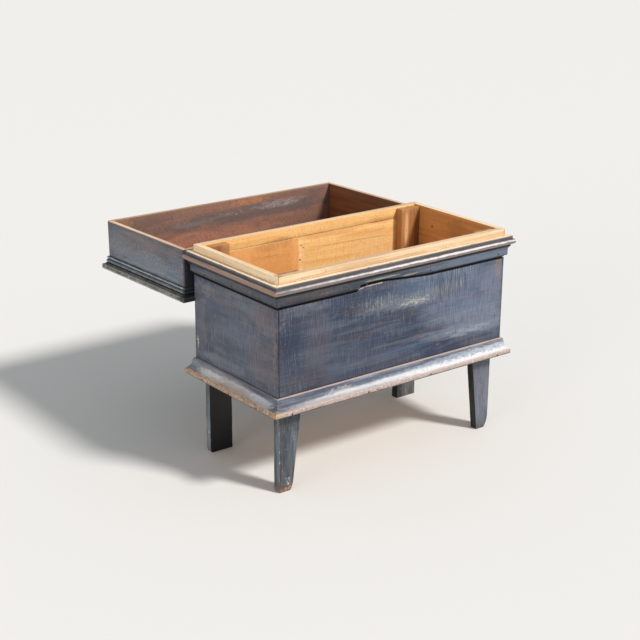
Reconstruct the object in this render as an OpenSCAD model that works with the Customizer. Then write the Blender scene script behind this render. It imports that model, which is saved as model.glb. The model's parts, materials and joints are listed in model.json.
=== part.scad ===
// Blanket chest on four corner posts, with a deep box lid on two iron hinges.
// The front faces -Y, the floor is z = 0 and the lid stands fully open behind the case.
// The origin is on the floor, midway between the foremost and rearmost points.

/* [Case] */
// Width of the case over its end boards
case_w = 900; // [760:5:1200]
// Depth of the case over its front and back boards
case_d = 436; // [380:2:560]
// Height of the underside of the case above the floor
case_bottom_z = 264; // [200:2:340]
// Height of the case boards, from the underside to the top of the lip
wall_h = 422; // [360:2:520]
// Thickness of the case boards
wall_t = 20; // [17:0.5:24]
// Height of the lip above the ledge that carries the lid
lip_h = 22; // [14:1:34]
// Height of the strip that tops the back
back_strip_h = 38; // [26:1:60]

/* [Floor] */
// Thickness of the floor boards
floor_t = 18; // [12:1:24]
// Height of the floor boards' underside above the underside of the case
floor_lift = 2; // [0:0.5:8]
// Gap between two neighbouring floor boards
floor_seam = 0.8; // [0.4:0.1:3]
// Gap between a floor board's notch and the post in it
notch_gap = 0.6; // [0.3:0.1:2]

/* [Posts] */
// Width of a corner post, along the front
post_w = 82; // [70:1:100]
// Thickness of a corner post, from front to back
post_t = 28; // [24:0.5:36]
// Width of a front foot where it meets the floor
foot_w = 49; // [36:1:64]
// Distance from the top of a post to the top of the lip
post_drop = 5; // [2:0.5:7]

/* [Waist moulding] */
// Height of the moulding that carries the lid
waist_h = 66; // [60:1:76]
// Distance that the ledge stands out from the case
ledge_proj = 17.7; // [16:0.1:20]
// Height of the flat band under the ledge
waist_band_h = 9.3; // [7:0.1:11]
// Diameter of the round nose
nose_d = 18.8; // [16:0.2:20]
// Distance that the round nose stands out from the case
nose_proj = 25.8; // [24:0.1:28]
// Distance that the flat under the nose stands out from the case
quirk_proj = 14; // [12:0.1:15]
// Radius of the hollow below it
waist_cove_r = 16; // [14:0.5:18]
// Height of the flat lower band
waist_flat_h = 18.5; // [14:0.5:20]
// Distance that the lower band stands out from the case
waist_flat_proj = 8; // [6:0.1:10]
// Bevel along the lower edge of that band
waist_bevel = 3; // [1:0.1:4]

/* [Base moulding] */
// Height of the moulding round the foot of the case
base_h = 54.5; // [50:0.5:60]
// Distance that its lower edge stands out from the case
base_proj = 26; // [24:0.1:28]
// Height of the square part of the lower edge
base_edge_h = 12; // [9:0.5:14]
// Radius that rounds the top of the lower edge
base_edge_r = 5; // [3:0.5:6]
// Radius of the hollow
base_cove_r = 26.4; // [22:0.2:28]
// Height of the hollow's upper end above the underside of the case
base_cove_top = 42; // [38:0.5:44]
// Distance that the hollow's upper end stands out from the case
base_cove_proj = 8.9; // [7.5:0.1:10]
// Distance that the top edge stands out from the case
base_top_proj = 6.5; // [4:0.1:7]
// Fall of the bevel on the top edge
base_top_bevel = 3; // [1:0.1:5]

/* [Lid] */
// Height of the lid's walls
lid_wall_h = 148; // [110:1:200]
// Thickness of the lid's walls
lid_wall_t = 15; // [12:0.1:15.4]
// Thickness of the lid's top boards
lid_top_t = 17; // [14:0.5:22]
// Distance that the top boards stand out past the walls
lid_top_proj = 19; // [15:0.5:21]
// Bevel along the upper edge of the top boards
lid_top_bevel = 3; // [1:0.5:5]
// Gap between the two top boards
lid_seam = 0.4; // [0.2:0.1:2]
// Height of the moulding under the overhang
bed_h = 27; // [25:0.5:34]
// Diameter of the bead at its edge
bead_d = 8.4; // [7:0.2:9]
// Distance that the bead stands out from the lid's wall
bead_proj = 6; // [5:0.1:7]
// Diameter of the round above the bead
ovolo_d = 13; // [11:0.2:14]
// Distance that the round stands out from the lid's wall
ovolo_proj = 7.6; // [6.6:0.1:9]
// Height of the flat band at the top of that moulding
bed_flat_h = 5; // [3:0.5:7]
// Distance that the flat stands out from the lid's wall
bed_flat_proj = 9; // [8:0.1:11]

// How far the open lid has swung back from shut, in degrees
lid_swing = 181; // [178:0.25:182]

/* [Hinges] */
// Distance of each hinge's middle from the end of the case
hinge_inset = 160; // [100:5:240]
// Length of a hinge
hinge_l = 66; // [54:1:90]
// Width of a leaf on the wood
leaf_w = 14; // [12:0.2:14.6]
// Thickness of a leaf
leaf_t = 2; // [1.6:0.1:2.6]
// Diameter of the knuckles
knuckle_d = 7.4; // [6.6:0.1:7.6]
// Diameter of the pin
pin_d = 3.6; // [3:0.1:4]
// Gap between two neighbouring knuckles
knuckle_gap = 0.4; // [0.3:0.1:1]
// Diameter of a screw's head
screw_head_d = 7; // [6:0.1:8]
// Diameter of a screw's shank
screw_d = 3.4; // [2.8:0.1:4]
// Length of a screw
screw_l = 17; // [13:0.5:20]
// Distance between neighbouring screws
screw_pitch = 22; // [16:0.5:24]
// Width of the slot in a screw's head
screw_slot_w = 0.9; // [0.6:0.1:1.2]
// Depth of that slot
screw_slot_deep = 0.9; // [0.5:0.1:1.2]

/* [Nails] */
// Diameter of a nail's shank
nail_d = 2.6; // [2:0.1:3]
// Diameter of a nail's head
nail_head_d = 6; // [4:0.2:7]
// Thickness of a nail's head
nail_head_t = 1.2; // [0.8:0.1:1.6]
// Depth that a nail's head is set below the surface
nail_set = 0.5; // [0.2:0.1:1]
// Length of the nails that hold boards
board_nail_l = 44; // [36:1:46]
// Length of the nails that hold the case mouldings
moulding_nail_l = 24; // [18:1:25]
// Length of the nails that hold the lid's moulding
bed_nail_l = 18; // [14:0.5:20]
// Diameter of the heads of those nails
bed_nail_head_d = 4; // [3:0.2:5]
// Gap between those heads and the top boards
bed_nail_margin = 0.5; // [0.2:0.1:1]
// Distance from the case's corner to the nearest nail of a long moulding
corner_nail_inset = 34; // [30:1:60]

/* [Fits] */
// Gap between the lid's rim and the ledge when the lid is shut
seat_gap = 0.3; // [0.3:0.1:1]
// Gap between the open lid and the nose that it leans on
lean_gap = 0.3; // [0.3:0.1:2]
// Gap round a shaft, nail or screw in its hole
hole_gap = 0.05; // [0.02:0.01:0.1]
// Gap round a hinge leaf in its pocket
pocket_gap = 0.2; // [0.1:0.05:0.5]

/* [Hidden] */
$fn = 48;

// Extra length of a cutting solid past what it cuts
over = 1;
// Knuckles on a hinge
knuckles = 3;
// Rows of nails up each corner, below the waist moulding
nail_rows = 3;

wall_top_z = case_bottom_z + wall_h;
ledge_z = wall_top_z - lip_h;
post_top_z = wall_top_z - post_drop;
floor_z = case_bottom_z + floor_lift;
inside_w = case_w - 2 * wall_t;
inside_d = case_d - 2 * wall_t;
floor_board_d = (inside_d - 2 * floor_seam) / 3;

// Share of a length that the swing leaves level, and the share that it tips downwards
level_share = -cos(lid_swing);
tip_share = -sin(lid_swing);

lid_w = case_w + 2 * ledge_proj;
lid_d = case_d + 2 * ledge_proj;
rim_z = ledge_z + seat_gap;
lid_top_z = rim_z + lid_wall_h;
lid_mid = lid_d / 2;

// The hinge axis lies where the open lid's face just clears the middle of the nose
nose_drop = waist_band_h + nose_d / 2 + seat_gap / 2;
axis_proj = (nose_proj + lean_gap + ledge_proj * level_share + nose_drop * tip_share) / (1 + level_share);
axis_y = case_d + axis_proj;
axis_z = ledge_z + seat_gap / 2;
hinge_x = case_w / 2 - hinge_inset;
leaf_reach = axis_proj - ledge_proj + leaf_w;
plate_start = knuckle_d / 2 + knuckle_gap;
screw_y = axis_proj - ledge_proj + leaf_w / 2;
knuckle_l = (hinge_l - (knuckles - 1) * knuckle_gap) / knuckles;

// Foremost and rearmost points of the chest, from the front of the case
front_reach = max(base_proj, nose_proj);
lid_edge_y = axis_y + ledge_proj + lid_top_proj;
lid_edge_zs = [lid_top_z - axis_z, lid_top_z + lid_top_t - lid_top_bevel - axis_z];
rear_reach = axis_y + max([for (z = lid_edge_zs) lid_edge_y * level_share - z * tip_share]);
origin_y = (rear_reach - front_reach) / 2;

// Nail places, as distances from the middle of a side and heights
rows_low_z = case_bottom_z + base_h;
rows_high_z = ledge_z - waist_h;
row_pitch = (rows_high_z - rows_low_z) / nail_rows;
row_zs = [for (i = [0:nail_rows - 1]) rows_low_z + (i + 0.35) * row_pitch];
end_row_lift = row_pitch * 0.3;
long_nail_xs = [case_w / 2 - wall_t - post_w * 0.3, case_w / 2 - wall_t - post_w * 0.85];
end_nail_x = case_d / 2 - wall_t - post_t * 0.35;
end_lip_nail_x = case_d / 2 - wall_t - post_t * 0.78;
lip_nail_z = ledge_z + lip_h * 0.3;
end_lip_nail_z = ledge_z + lip_h * 0.55;
floor_nail_z = floor_z + floor_t / 2;
floor_nail_xs = [-0.36, -0.18, 0, 0.18, 0.36] * inside_w;
floor_end_nail_xs = [-0.3, 0.3] * floor_board_d;
waist_nail_z = ledge_z - waist_h + waist_flat_h / 2;
base_nail_z = case_bottom_z + base_edge_h / 2;
corner_nail_x = case_w / 2 - corner_nail_inset;
long_moulding_xs = [-corner_nail_x, -0.14 * case_w, 0.14 * case_w, corner_nail_x];
end_moulding_xs = [-0.33, 0, 0.33] * case_d;
lid_corner_nail_zs = [0.22, 0.62] * lid_wall_h;
lid_corner_nail_x = lid_w / 2 - lid_wall_t / 2;
bed_nail_z = lid_wall_h - bed_nail_head_d / 2 - bed_nail_margin;
lid_long_nail_xs = [-0.44, -0.22, 0, 0.22, 0.44] * lid_w;
lid_end_nail_xs = [-0.36, -0.12, 0.12, 0.36] * lid_d;
bed_long_nail_xs = [-0.33, -0.11, 0.11, 0.33] * lid_w;
bed_end_nail_xs = [-0.24, 0.24] * lid_d;

// Puts what stands before the front board's face on one side of a rectangle of w by d
module on_side(side, w, d) {
    if (side == "front") children();
    if (side == "back") translate([0, d, 0]) rotate(180) children();
    if (side == "left") translate([-w / 2, d / 2, 0]) rotate(-90) children();
    if (side == "right") translate([w / 2, d / 2, 0]) rotate(90) children();
}

function is_long(side) = side == "front" || side == "back";
function run(side, w, d) = is_long(side) ? w : d;

// Moves from the front of the case to the origin
module placed() {
    translate([0, -origin_y, 0]) children();
}

// Swings the shut lid back about the hinge axis
module opened() {
    placed() translate([0, axis_y, axis_z]) rotate([-lid_swing, 0, 0])
        translate([0, -axis_y, -axis_z]) children();
}

// Shut lid's own place: its front wall's face is y = 0 and its rim z = 0
module on_lid() {
    opened() translate([0, -ledge_proj, rim_z]) children();
}

// A board with mitred ends whose outer face is y = 0
module mitred_board(len, t, h) {
    linear_extrude(h)
        polygon([[-len / 2, 0], [len / 2, 0], [len / 2 - t, t], [t - len / 2, t]]);
}

// A moulding with mitred ends: its back is y = 0 and its profile points to -Y
module mitred_moulding(len, reach, low, high) {
    intersection() {
        rotate([90, 0, -90]) linear_extrude(len + 2 * reach, center = true) children();
        translate([0, 0, low - over]) linear_extrude(high - low + 2 * over)
            polygon([[-len / 2, 0], [len / 2, 0], [len / 2 + reach, -reach], [-len / 2 - reach, -reach]]);
    }
}

// A nail driven along +Y from the plane y = 0
module nail(l, head_d = nail_head_d) {
    translate([0, nail_set, 0]) rotate([-90, 0, 0]) {
        cylinder(d = head_d, h = nail_head_t);
        cylinder(d = nail_d, h = l - nail_set);
    }
}

// The hole that such a nail lies in
module nail_hole(l, head_d = nail_head_d) {
    deep = nail_set + nail_head_t + hole_gap;
    rotate([-90, 0, 0]) {
        translate([0, 0, -over]) cylinder(d = head_d + 2 * hole_gap, h = over + deep);
        cylinder(d = nail_d + 2 * hole_gap, h = l + hole_gap);
    }
}

// Case nails on one side: corner nails from the face of the board
module each_case_nail(side) {
    if (is_long(side)) {
        for (x = long_nail_xs, s = [-1, 1], z = concat(row_zs, [lip_nail_z])) translate([s * x, 0, z]) children();
    } else {
        for (s = [-1, 1], z = row_zs) translate([s * end_nail_x, 0, z + end_row_lift]) children();
        for (s = [-1, 1], x = [end_nail_x, end_lip_nail_x]) translate([s * x, 0, end_lip_nail_z]) children();
    }
}

// Floor nails on one side
module each_floor_nail(side) {
    for (x = is_long(side) ? floor_nail_xs : floor_end_nail_xs) translate([x, 0, floor_nail_z]) children();
}

// Waist moulding nails on one side
module each_waist_nail(side) {
    for (x = is_long(side) ? long_moulding_xs : end_moulding_xs)
        translate([x, -waist_flat_proj, waist_nail_z]) children();
}

// Base moulding nails on one side
module each_base_nail(side) {
    for (x = is_long(side) ? long_moulding_xs : end_moulding_xs)
        translate([x, -base_proj, base_nail_z]) children();
}

// Nails through the lid's front and back walls into the ends of its side walls
module each_lid_corner_nail() {
    for (side = ["front", "back"], s = [-1, 1], z = lid_corner_nail_zs)
        on_side(side, lid_w, lid_d) translate([s * lid_corner_nail_x, 0, z]) children();
}

// Nails down through the lid's top into its walls
module each_lid_top_nail() {
    for (side = ["front", "back", "left", "right"])
        on_side(side, lid_w, lid_d)
            for (x = is_long(side) ? lid_long_nail_xs : lid_end_nail_xs)
                translate([x, lid_wall_t / 2, lid_wall_h + lid_top_t]) rotate([-90, 0, 0]) children();
}

// Nails through the lid's moulding on one side
module each_bed_nail(side) {
    for (x = is_long(side) ? bed_long_nail_xs : bed_end_nail_xs)
        translate([x, -bed_flat_proj, bed_nail_z]) children();
}

// Holes that nails leave in the boards of one side of the case
module case_side_holes(side) {
    each_case_nail(side) nail_hole(board_nail_l);
    each_floor_nail(side) nail_hole(board_nail_l);
    each_waist_nail(side) nail_hole(moulding_nail_l);
    each_base_nail(side) nail_hole(board_nail_l);
}

// One case board between two heights
module case_board(side, low, high) {
    placed() difference() {
        on_side(side, case_w, case_d)
            translate([0, 0, low]) mitred_board(run(side, case_w, case_d), wall_t, high - low);
        on_side(side, case_w, case_d) case_side_holes(side);
    }
}

module front_board() { color("slategray") case_board("front", case_bottom_z, wall_top_z); }
module left_end_board() { color("slategray") case_board("left", case_bottom_z, wall_top_z); }
module right_end_board() { color("slategray") case_board("right", case_bottom_z, wall_top_z); }
module back_board() { color("slategray") case_board("back", case_bottom_z, wall_top_z - back_strip_h); }
module back_top_strip() { color("burlywood") case_board("back", wall_top_z - back_strip_h, wall_top_z); }

// A corner post's square section over its whole height, grown by a gap
module post_blank(s, side, grow) {
    x = s < 0 ? wall_t - case_w / 2 : case_w / 2 - wall_t - post_w;
    y = side == "front" ? wall_t : case_d - wall_t - post_t;
    translate([x - grow, y - grow, 0]) cube([post_w + 2 * grow, post_t + 2 * grow, post_top_z]);
}

// A floor board from one depth to another, notched for the posts it meets
module floor_board(y_low) {
    placed() difference() {
        translate([-inside_w / 2, wall_t + y_low, floor_z]) cube([inside_w, floor_board_d, floor_t]);
        for (s = [-1, 1], side = ["front", "rear"]) post_blank(s, side, notch_gap);
        for (side = ["front", "back", "left", "right"])
            on_side(side, case_w, case_d) each_floor_nail(side) nail_hole(board_nail_l);
    }
}

module floor_board_front() { color("tan") floor_board(0); }
module floor_board_middle() { color("tan") floor_board(floor_board_d + floor_seam); }
module floor_board_rear() { color("tan") floor_board(2 * (floor_board_d + floor_seam)); }

// Outline of a post seen from the front, its outer edge on x = 0
module post_outline(foot) {
    polygon([[0, 0], [foot, 0], [post_w, case_bottom_z], [post_w, post_top_z], [0, post_top_z]]);
}

// A corner post: s is -1 on the left and 1 on the right
module corner_post(s, side, foot) {
    y = side == "front" ? wall_t : case_d - wall_t - post_t;
    end = s < 0 ? "left" : "right";
    long = side == "front" ? "front" : "back";
    placed() difference() {
        scale([-s, 1, 1]) translate([wall_t - case_w / 2, y + post_t, 0])
            rotate([90, 0, 0]) linear_extrude(post_t) post_outline(foot);
        on_side(long, case_w, case_d) case_side_holes(long);
        on_side(end, case_w, case_d) each_case_nail(end) nail_hole(board_nail_l);
    }
}

module post_front_left() { color("slategray") corner_post(-1, "front", foot_w); }
module post_front_right() { color("slategray") corner_post(1, "front", foot_w); }
module post_rear_left() { color("slategray") corner_post(-1, "rear", post_w); }
module post_rear_right() { color("slategray") corner_post(1, "rear", post_w); }

// Profile of the waist moulding: x is the distance from the case, y the height from the ledge
module waist_profile() {
    nose_y = -waist_band_h - nose_d / 2;
    flat_y = waist_flat_h - waist_h;
    translate([0, -waist_band_h]) square([ledge_proj, waist_band_h]);
    translate([0, -waist_band_h - nose_d]) square([nose_proj - nose_d / 2, nose_d]);
    translate([nose_proj - nose_d / 2, nose_y]) circle(d = nose_d);
    difference() {
        translate([0, flat_y]) square([quirk_proj, -waist_band_h - nose_d - flat_y]);
        translate([waist_flat_proj + waist_cove_r, flat_y]) circle(r = waist_cove_r);
    }
    polygon([[0, -waist_h], [waist_flat_proj - waist_bevel, -waist_h],
        [waist_flat_proj, waist_bevel - waist_h], [waist_flat_proj, flat_y], [0, flat_y]]);
}

// One side of the waist moulding; the back one has pockets for the hinges
module waist_moulding(side) {
    placed() difference() {
        on_side(side, case_w, case_d) translate([0, 0, ledge_z])
            mitred_moulding(run(side, case_w, case_d), nose_proj, -waist_h, 0) waist_profile();
        on_side(side, case_w, case_d) each_waist_nail(side) nail_hole(moulding_nail_l);
        if (side == "back") for (s = [-1, 1]) hinge_case_pocket(s);
    }
}

module waist_moulding_front() { color("steelblue") waist_moulding("front"); }
module waist_moulding_back() { color("steelblue") waist_moulding("back"); }
module waist_moulding_left() { color("steelblue") waist_moulding("left"); }
module waist_moulding_right() { color("steelblue") waist_moulding("right"); }

// Profile of the base moulding: x is the distance from the case, y the height from its underside
module base_profile() {
    square([base_proj, base_edge_h]);
    square([base_proj - base_edge_r, base_edge_h + base_edge_r]);
    translate([base_proj - base_edge_r, base_edge_h]) circle(r = base_edge_r);
    difference() {
        square([base_proj - base_edge_r / 2, base_cove_top]);
        translate([base_cove_proj + base_cove_r, base_cove_top]) circle(r = base_cove_r);
    }
    polygon([[0, base_cove_top], [base_cove_proj, base_cove_top],
        [base_top_proj, base_h - base_top_bevel], [0, base_h]]);
}

// One side of the base moulding
module base_moulding(side) {
    placed() difference() {
        on_side(side, case_w, case_d) translate([0, 0, case_bottom_z])
            mitred_moulding(run(side, case_w, case_d), base_proj, 0, base_h) base_profile();
        on_side(side, case_w, case_d) each_base_nail(side) nail_hole(board_nail_l);
    }
}

module base_moulding_front() { color("steelblue") base_moulding("front"); }
module base_moulding_back() { color("steelblue") base_moulding("back"); }
module base_moulding_left() { color("steelblue") base_moulding("left"); }
module base_moulding_right() { color("steelblue") base_moulding("right"); }

// Moves a hinge from the axis of the shut lid to its place in the case
module at_hinge(s) {
    translate([s * hinge_x, axis_y, axis_z]) children();
}

// Start of one knuckle along the hinge
function knuckle_start(i) = -hinge_l / 2 + i * (knuckle_l + knuckle_gap);

// The sunk plate of a leaf, below the axis and towards the front
module leaf_plate() {
    translate([-hinge_l / 2, -leaf_reach, -seat_gap / 2 - leaf_t]) cube([hinge_l, leaf_reach - plate_start, leaf_t]);
}

// A leaf whose knuckles are the even or the odd ones
module hinge_leaf(odd) {
    difference() {
        union() {
            leaf_plate();
            for (i = [odd:2:knuckles - 1]) {
                translate([knuckle_start(i), 0, 0]) rotate([0, 90, 0]) cylinder(d = knuckle_d, h = knuckle_l);
                translate([knuckle_start(i), -leaf_reach, -seat_gap / 2 - leaf_t])
                    cube([knuckle_l, leaf_reach, leaf_t]);
            }
        }
        translate([-hinge_l / 2 - over, 0, 0]) rotate([0, 90, 0])
            cylinder(d = pin_d + 2 * hole_gap, h = hinge_l + 2 * over);
        each_leaf_screw() screw_hole();
    }
}

// Screw places on a leaf, at its upper face
module each_leaf_screw() {
    for (i = [-1:1]) translate([i * screw_pitch, -screw_y, -seat_gap / 2]) children();
}

// A countersunk screw pointing down from z = 0
module hinge_screw() {
    difference() {
        union() {
            translate([0, 0, -leaf_t]) cylinder(d1 = screw_d, d2 = screw_head_d, h = leaf_t);
            translate([0, 0, -screw_l]) cylinder(d = screw_d, h = screw_l - leaf_t / 2);
        }
        translate([-screw_head_d / 2, -screw_slot_w / 2, -screw_slot_deep])
            cube([screw_head_d, screw_slot_w, screw_slot_deep + over]);
    }
}

// The hole for such a screw
module screw_hole() {
    gap = 2 * hole_gap;
    translate([0, 0, -leaf_t]) cylinder(d1 = screw_d + gap, d2 = screw_head_d + gap, h = leaf_t);
    cylinder(d = screw_head_d + gap, h = over);
    translate([0, 0, -screw_l - hole_gap]) cylinder(d = screw_d + gap, h = screw_l);
}

// Pocket for a leaf, open at the rear, with its screw holes
module leaf_pocket() {
    translate([-hinge_l / 2 - pocket_gap, -leaf_reach - pocket_gap, -seat_gap / 2 - leaf_t])
        cube([hinge_l + 2 * pocket_gap, 2 * leaf_reach, leaf_t + over]);
    each_leaf_screw() screw_hole();
}

// Turns what is made for the case's leaf over, for the lid's leaf
module turned_over() {
    mirror([0, 0, 1]) children();
}

module hinge_case_pocket(s) { at_hinge(s) leaf_pocket(); }

module hinge_leaf_case_left() { color("dimgray") placed() at_hinge(-1) hinge_leaf(0); }
module hinge_leaf_case_right() { color("dimgray") placed() at_hinge(1) hinge_leaf(0); }
module hinge_leaf_lid_left() { color("dimgray") opened() at_hinge(-1) turned_over() hinge_leaf(1); }
module hinge_leaf_lid_right() { color("dimgray") opened() at_hinge(1) turned_over() hinge_leaf(1); }

// The pin, as long as the hinge
module hinge_pin(s) {
    color("gray") placed() at_hinge(s) translate([-hinge_l / 2, 0, 0])
        rotate([0, 90, 0]) cylinder(d = pin_d, h = hinge_l);
}

module hinge_pin_left() { hinge_pin(-1); }
module hinge_pin_right() { hinge_pin(1); }

module hinge_screws_case() {
    color("dimgray") placed() for (s = [-1, 1]) at_hinge(s) each_leaf_screw() hinge_screw();
}

module hinge_screws_lid() {
    color("dimgray") opened() for (s = [-1, 1]) at_hinge(s) turned_over() each_leaf_screw() hinge_screw();
}

// Nails of one kind on every side of the case
module case_nails() {
    color("saddlebrown") placed() for (side = ["front", "back", "left", "right"])
        on_side(side, case_w, case_d) each_case_nail(side) nail(board_nail_l);
}

module floor_nails() {
    color("saddlebrown") placed() for (side = ["front", "back", "left", "right"])
        on_side(side, case_w, case_d) each_floor_nail(side) nail(board_nail_l);
}

module waist_moulding_nails() {
    color("saddlebrown") placed() for (side = ["front", "back", "left", "right"])
        on_side(side, case_w, case_d) each_waist_nail(side) nail(moulding_nail_l);
}

module base_moulding_nails() {
    color("saddlebrown") placed() for (side = ["front", "back", "left", "right"])
        on_side(side, case_w, case_d) each_base_nail(side) nail(board_nail_l);
}

// One wall of the lid; the back one has pockets for the hinges
module lid_board(side) {
    difference() {
        on_lid() difference() {
            on_side(side, lid_w, lid_d) mitred_board(run(side, lid_w, lid_d), lid_wall_t, lid_wall_h);
            each_lid_corner_nail() nail_hole(board_nail_l);
            each_lid_top_nail() nail_hole(board_nail_l);
            on_side(side, lid_w, lid_d) each_bed_nail(side) nail_hole(bed_nail_l, bed_nail_head_d);
        }
        if (side == "back") for (s = [-1, 1]) opened() at_hinge(s) turned_over() leaf_pocket();
    }
}

module lid_front_board() { color("slategray") lid_board("front"); }
module lid_back_board() { color("slategray") lid_board("back"); }
module lid_left_board() { color("slategray") lid_board("left"); }
module lid_right_board() { color("slategray") lid_board("right"); }

// Outline of the lid's top seen from an edge, centred, with its upper edges bevelled
module lid_top_outline(w) {
    reach = w / 2 + lid_top_proj;
    bevel = lid_top_bevel;
    polygon([[-reach, 0], [reach, 0], [reach, lid_top_t - bevel], [reach - bevel, lid_top_t],
        [bevel - reach, lid_top_t], [-reach, lid_top_t - bevel]]);
}

// One of the lid's two top boards: s is -1 at the front and 1 at the rear
module lid_top_board(s) {
    half = lid_d / 2 + lid_top_proj;
    on_lid() difference() {
        translate([0, lid_mid, lid_wall_h]) intersection() {
            rotate([90, 0, 0]) linear_extrude(2 * half, center = true) lid_top_outline(lid_w);
            rotate([90, 0, 90]) linear_extrude(lid_w + 2 * lid_top_proj, center = true) lid_top_outline(lid_d);
            translate([-lid_w, s < 0 ? -half : lid_seam / 2, 0]) cube([2 * lid_w, half - lid_seam / 2, lid_top_t]);
        }
        each_lid_top_nail() nail_hole(board_nail_l);
    }
}

module lid_top_board_front() { color("slategray") lid_top_board(-1); }
module lid_top_board_rear() { color("slategray") lid_top_board(1); }

// Profile of the lid's moulding: x is the distance from the wall, y the height above its lower edge
module bed_profile() {
    round_y = bed_h - bed_flat_h - ovolo_d / 2;
    square([bead_proj - bead_d / 2, bead_d]);
    translate([bead_proj - bead_d / 2, bead_d / 2]) circle(d = bead_d);
    square([bead_proj - bead_d / 3, bed_h]);
    intersection() {
        translate([ovolo_proj - ovolo_d / 2, round_y]) circle(d = ovolo_d);
        square([bed_flat_proj, bed_h]);
    }
    translate([0, bed_h - bed_flat_h]) square([bed_flat_proj, bed_flat_h]);
}

// One side of the lid's moulding
module lid_moulding(side) {
    on_lid() difference() {
        on_side(side, lid_w, lid_d) translate([0, 0, lid_wall_h - bed_h])
            mitred_moulding(run(side, lid_w, lid_d), bed_flat_proj, 0, bed_h) bed_profile();
        on_side(side, lid_w, lid_d) each_bed_nail(side) nail_hole(bed_nail_l, bed_nail_head_d);
    }
}

module lid_moulding_front() { color("steelblue") lid_moulding("front"); }
module lid_moulding_back() { color("steelblue") lid_moulding("back"); }
module lid_moulding_left() { color("steelblue") lid_moulding("left"); }
module lid_moulding_right() { color("steelblue") lid_moulding("right"); }

module lid_corner_nails() {
    color("saddlebrown") on_lid() each_lid_corner_nail() nail(board_nail_l);
}

module lid_top_nails() {
    color("saddlebrown") on_lid() each_lid_top_nail() nail(board_nail_l);
}

module lid_moulding_nails() {
    color("saddlebrown") on_lid() for (side = ["front", "back", "left", "right"])
        on_side(side, lid_w, lid_d) each_bed_nail(side) nail(bed_nail_l, bed_nail_head_d);
}

front_board();
left_end_board();
right_end_board();
back_board();
back_top_strip();
floor_board_front();
floor_board_middle();
floor_board_rear();
post_front_left();
post_front_right();
post_rear_left();
post_rear_right();
waist_moulding_front();
waist_moulding_back();
waist_moulding_left();
waist_moulding_right();
base_moulding_front();
base_moulding_back();
base_moulding_left();
base_moulding_right();
hinge_leaf_case_left();
hinge_leaf_case_right();
hinge_pin_left();
hinge_pin_right();
hinge_screws_case();
case_nails();
floor_nails();
waist_moulding_nails();
base_moulding_nails();
lid_front_board();
lid_back_board();
lid_left_board();
lid_right_board();
lid_top_board_front();
lid_top_board_rear();
lid_moulding_front();
lid_moulding_back();
lid_moulding_left();
lid_moulding_right();
hinge_leaf_lid_left();
hinge_leaf_lid_right();
hinge_screws_lid();
lid_corner_nails();
lid_top_nails();
lid_moulding_nails();
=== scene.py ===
"""Looks of a painted blanket chest that stands open on four corner posts.

All sizes are in metres in the part's own frame: +Z is up, the front faces -Y and the floor is z = 0.
"""
import json
import logging
import math
from contextlib import contextmanager
from dataclasses import dataclass
from enum import Enum
from functools import reduce
from typing import Callable, Iterable, Iterator, Optional, Sequence, Union

import bmesh
import bpy
from mathutils import Matrix, Vector


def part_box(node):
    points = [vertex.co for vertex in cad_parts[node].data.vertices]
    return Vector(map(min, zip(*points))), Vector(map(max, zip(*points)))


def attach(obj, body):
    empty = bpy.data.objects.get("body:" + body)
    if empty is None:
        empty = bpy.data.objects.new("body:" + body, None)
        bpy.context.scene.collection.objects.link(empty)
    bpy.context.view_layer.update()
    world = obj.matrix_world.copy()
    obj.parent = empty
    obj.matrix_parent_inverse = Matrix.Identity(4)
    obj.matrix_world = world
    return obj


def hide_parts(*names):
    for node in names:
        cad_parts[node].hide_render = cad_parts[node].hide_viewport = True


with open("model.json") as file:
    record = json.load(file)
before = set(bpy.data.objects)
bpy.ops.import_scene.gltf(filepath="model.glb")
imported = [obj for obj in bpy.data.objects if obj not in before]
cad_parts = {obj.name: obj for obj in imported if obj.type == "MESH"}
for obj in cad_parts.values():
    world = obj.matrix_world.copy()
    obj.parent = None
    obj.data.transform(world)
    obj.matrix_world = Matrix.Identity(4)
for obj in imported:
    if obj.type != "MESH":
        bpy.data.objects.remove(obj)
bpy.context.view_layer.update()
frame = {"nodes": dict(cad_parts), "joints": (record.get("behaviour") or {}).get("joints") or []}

LOG = logging.getLogger("blanket_chest")
MM = 0.001
Piece = bpy.types.Object
Material = bpy.types.Material
Socket = bpy.types.NodeSocket
Value = Union[float, Socket]
Pair = tuple[float, float]
Triple = tuple[float, float, float]
Colour = Triple
Path = tuple[Pair, ...]
Box = tuple[Vector, Vector]
FaceTest = Callable[[Vector, Vector], bool]
Coats = Sequence[tuple[Material, Optional[FaceTest]]]
# One material for the front and back, under True, and one for the two ends, under False
ByRun = dict[bool, Material]

# The least part of a face's normal that lies along an axis when the face looks that way
SQUARELY = 0.8
MOSTLY = 0.7
PARTLY = 0.5
SLIGHTLY = 0.3
# The least part of an edge's length that lies along an axis when the edge runs that way
ALONG = 0.9
# Angles in degrees from which an edge is rounded, worn or left sharp in the shading
EASED_ANGLE = 32
WORN_ANGLE = 14
SHARP_ANGLE = 30
# The clouds that wear the edges: their octaves and the level below which nothing is worn
WEAR_OCTAVES = 2
UNWORN_LEVEL = 0.18
# Facets of the rounded edges and of the nail holes
EASED_FACETS = 2
TOP_FACETS = 3
DRILL_SIDES = 20
# Vertices closer than this are one, in a drawn section, in a CAD solid and in a finished piece
SECTION_WELD = 0.02 * MM
SOLID_WELD = 0.01 * MM
PIECE_WELD = 0.002 * MM
# Vertices within this height of each other lie on one level of a post
SAME_LEVEL = 0.1 * MM
# How far a length of moulding is drawn past its run before it is mitred
SPARE = 0.06
# How far a cut is drawn past the face that it opens
CLEAR = 1 * MM


class Side(Enum):
    """The four sides of a box seen from above."""

    FRONT = "front"
    BACK = "back"
    LEFT = "left"
    RIGHT = "right"

    @property
    def is_long(self) -> bool:
        """True for the front and the back."""
        return self in (Side.FRONT, Side.BACK)


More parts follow.
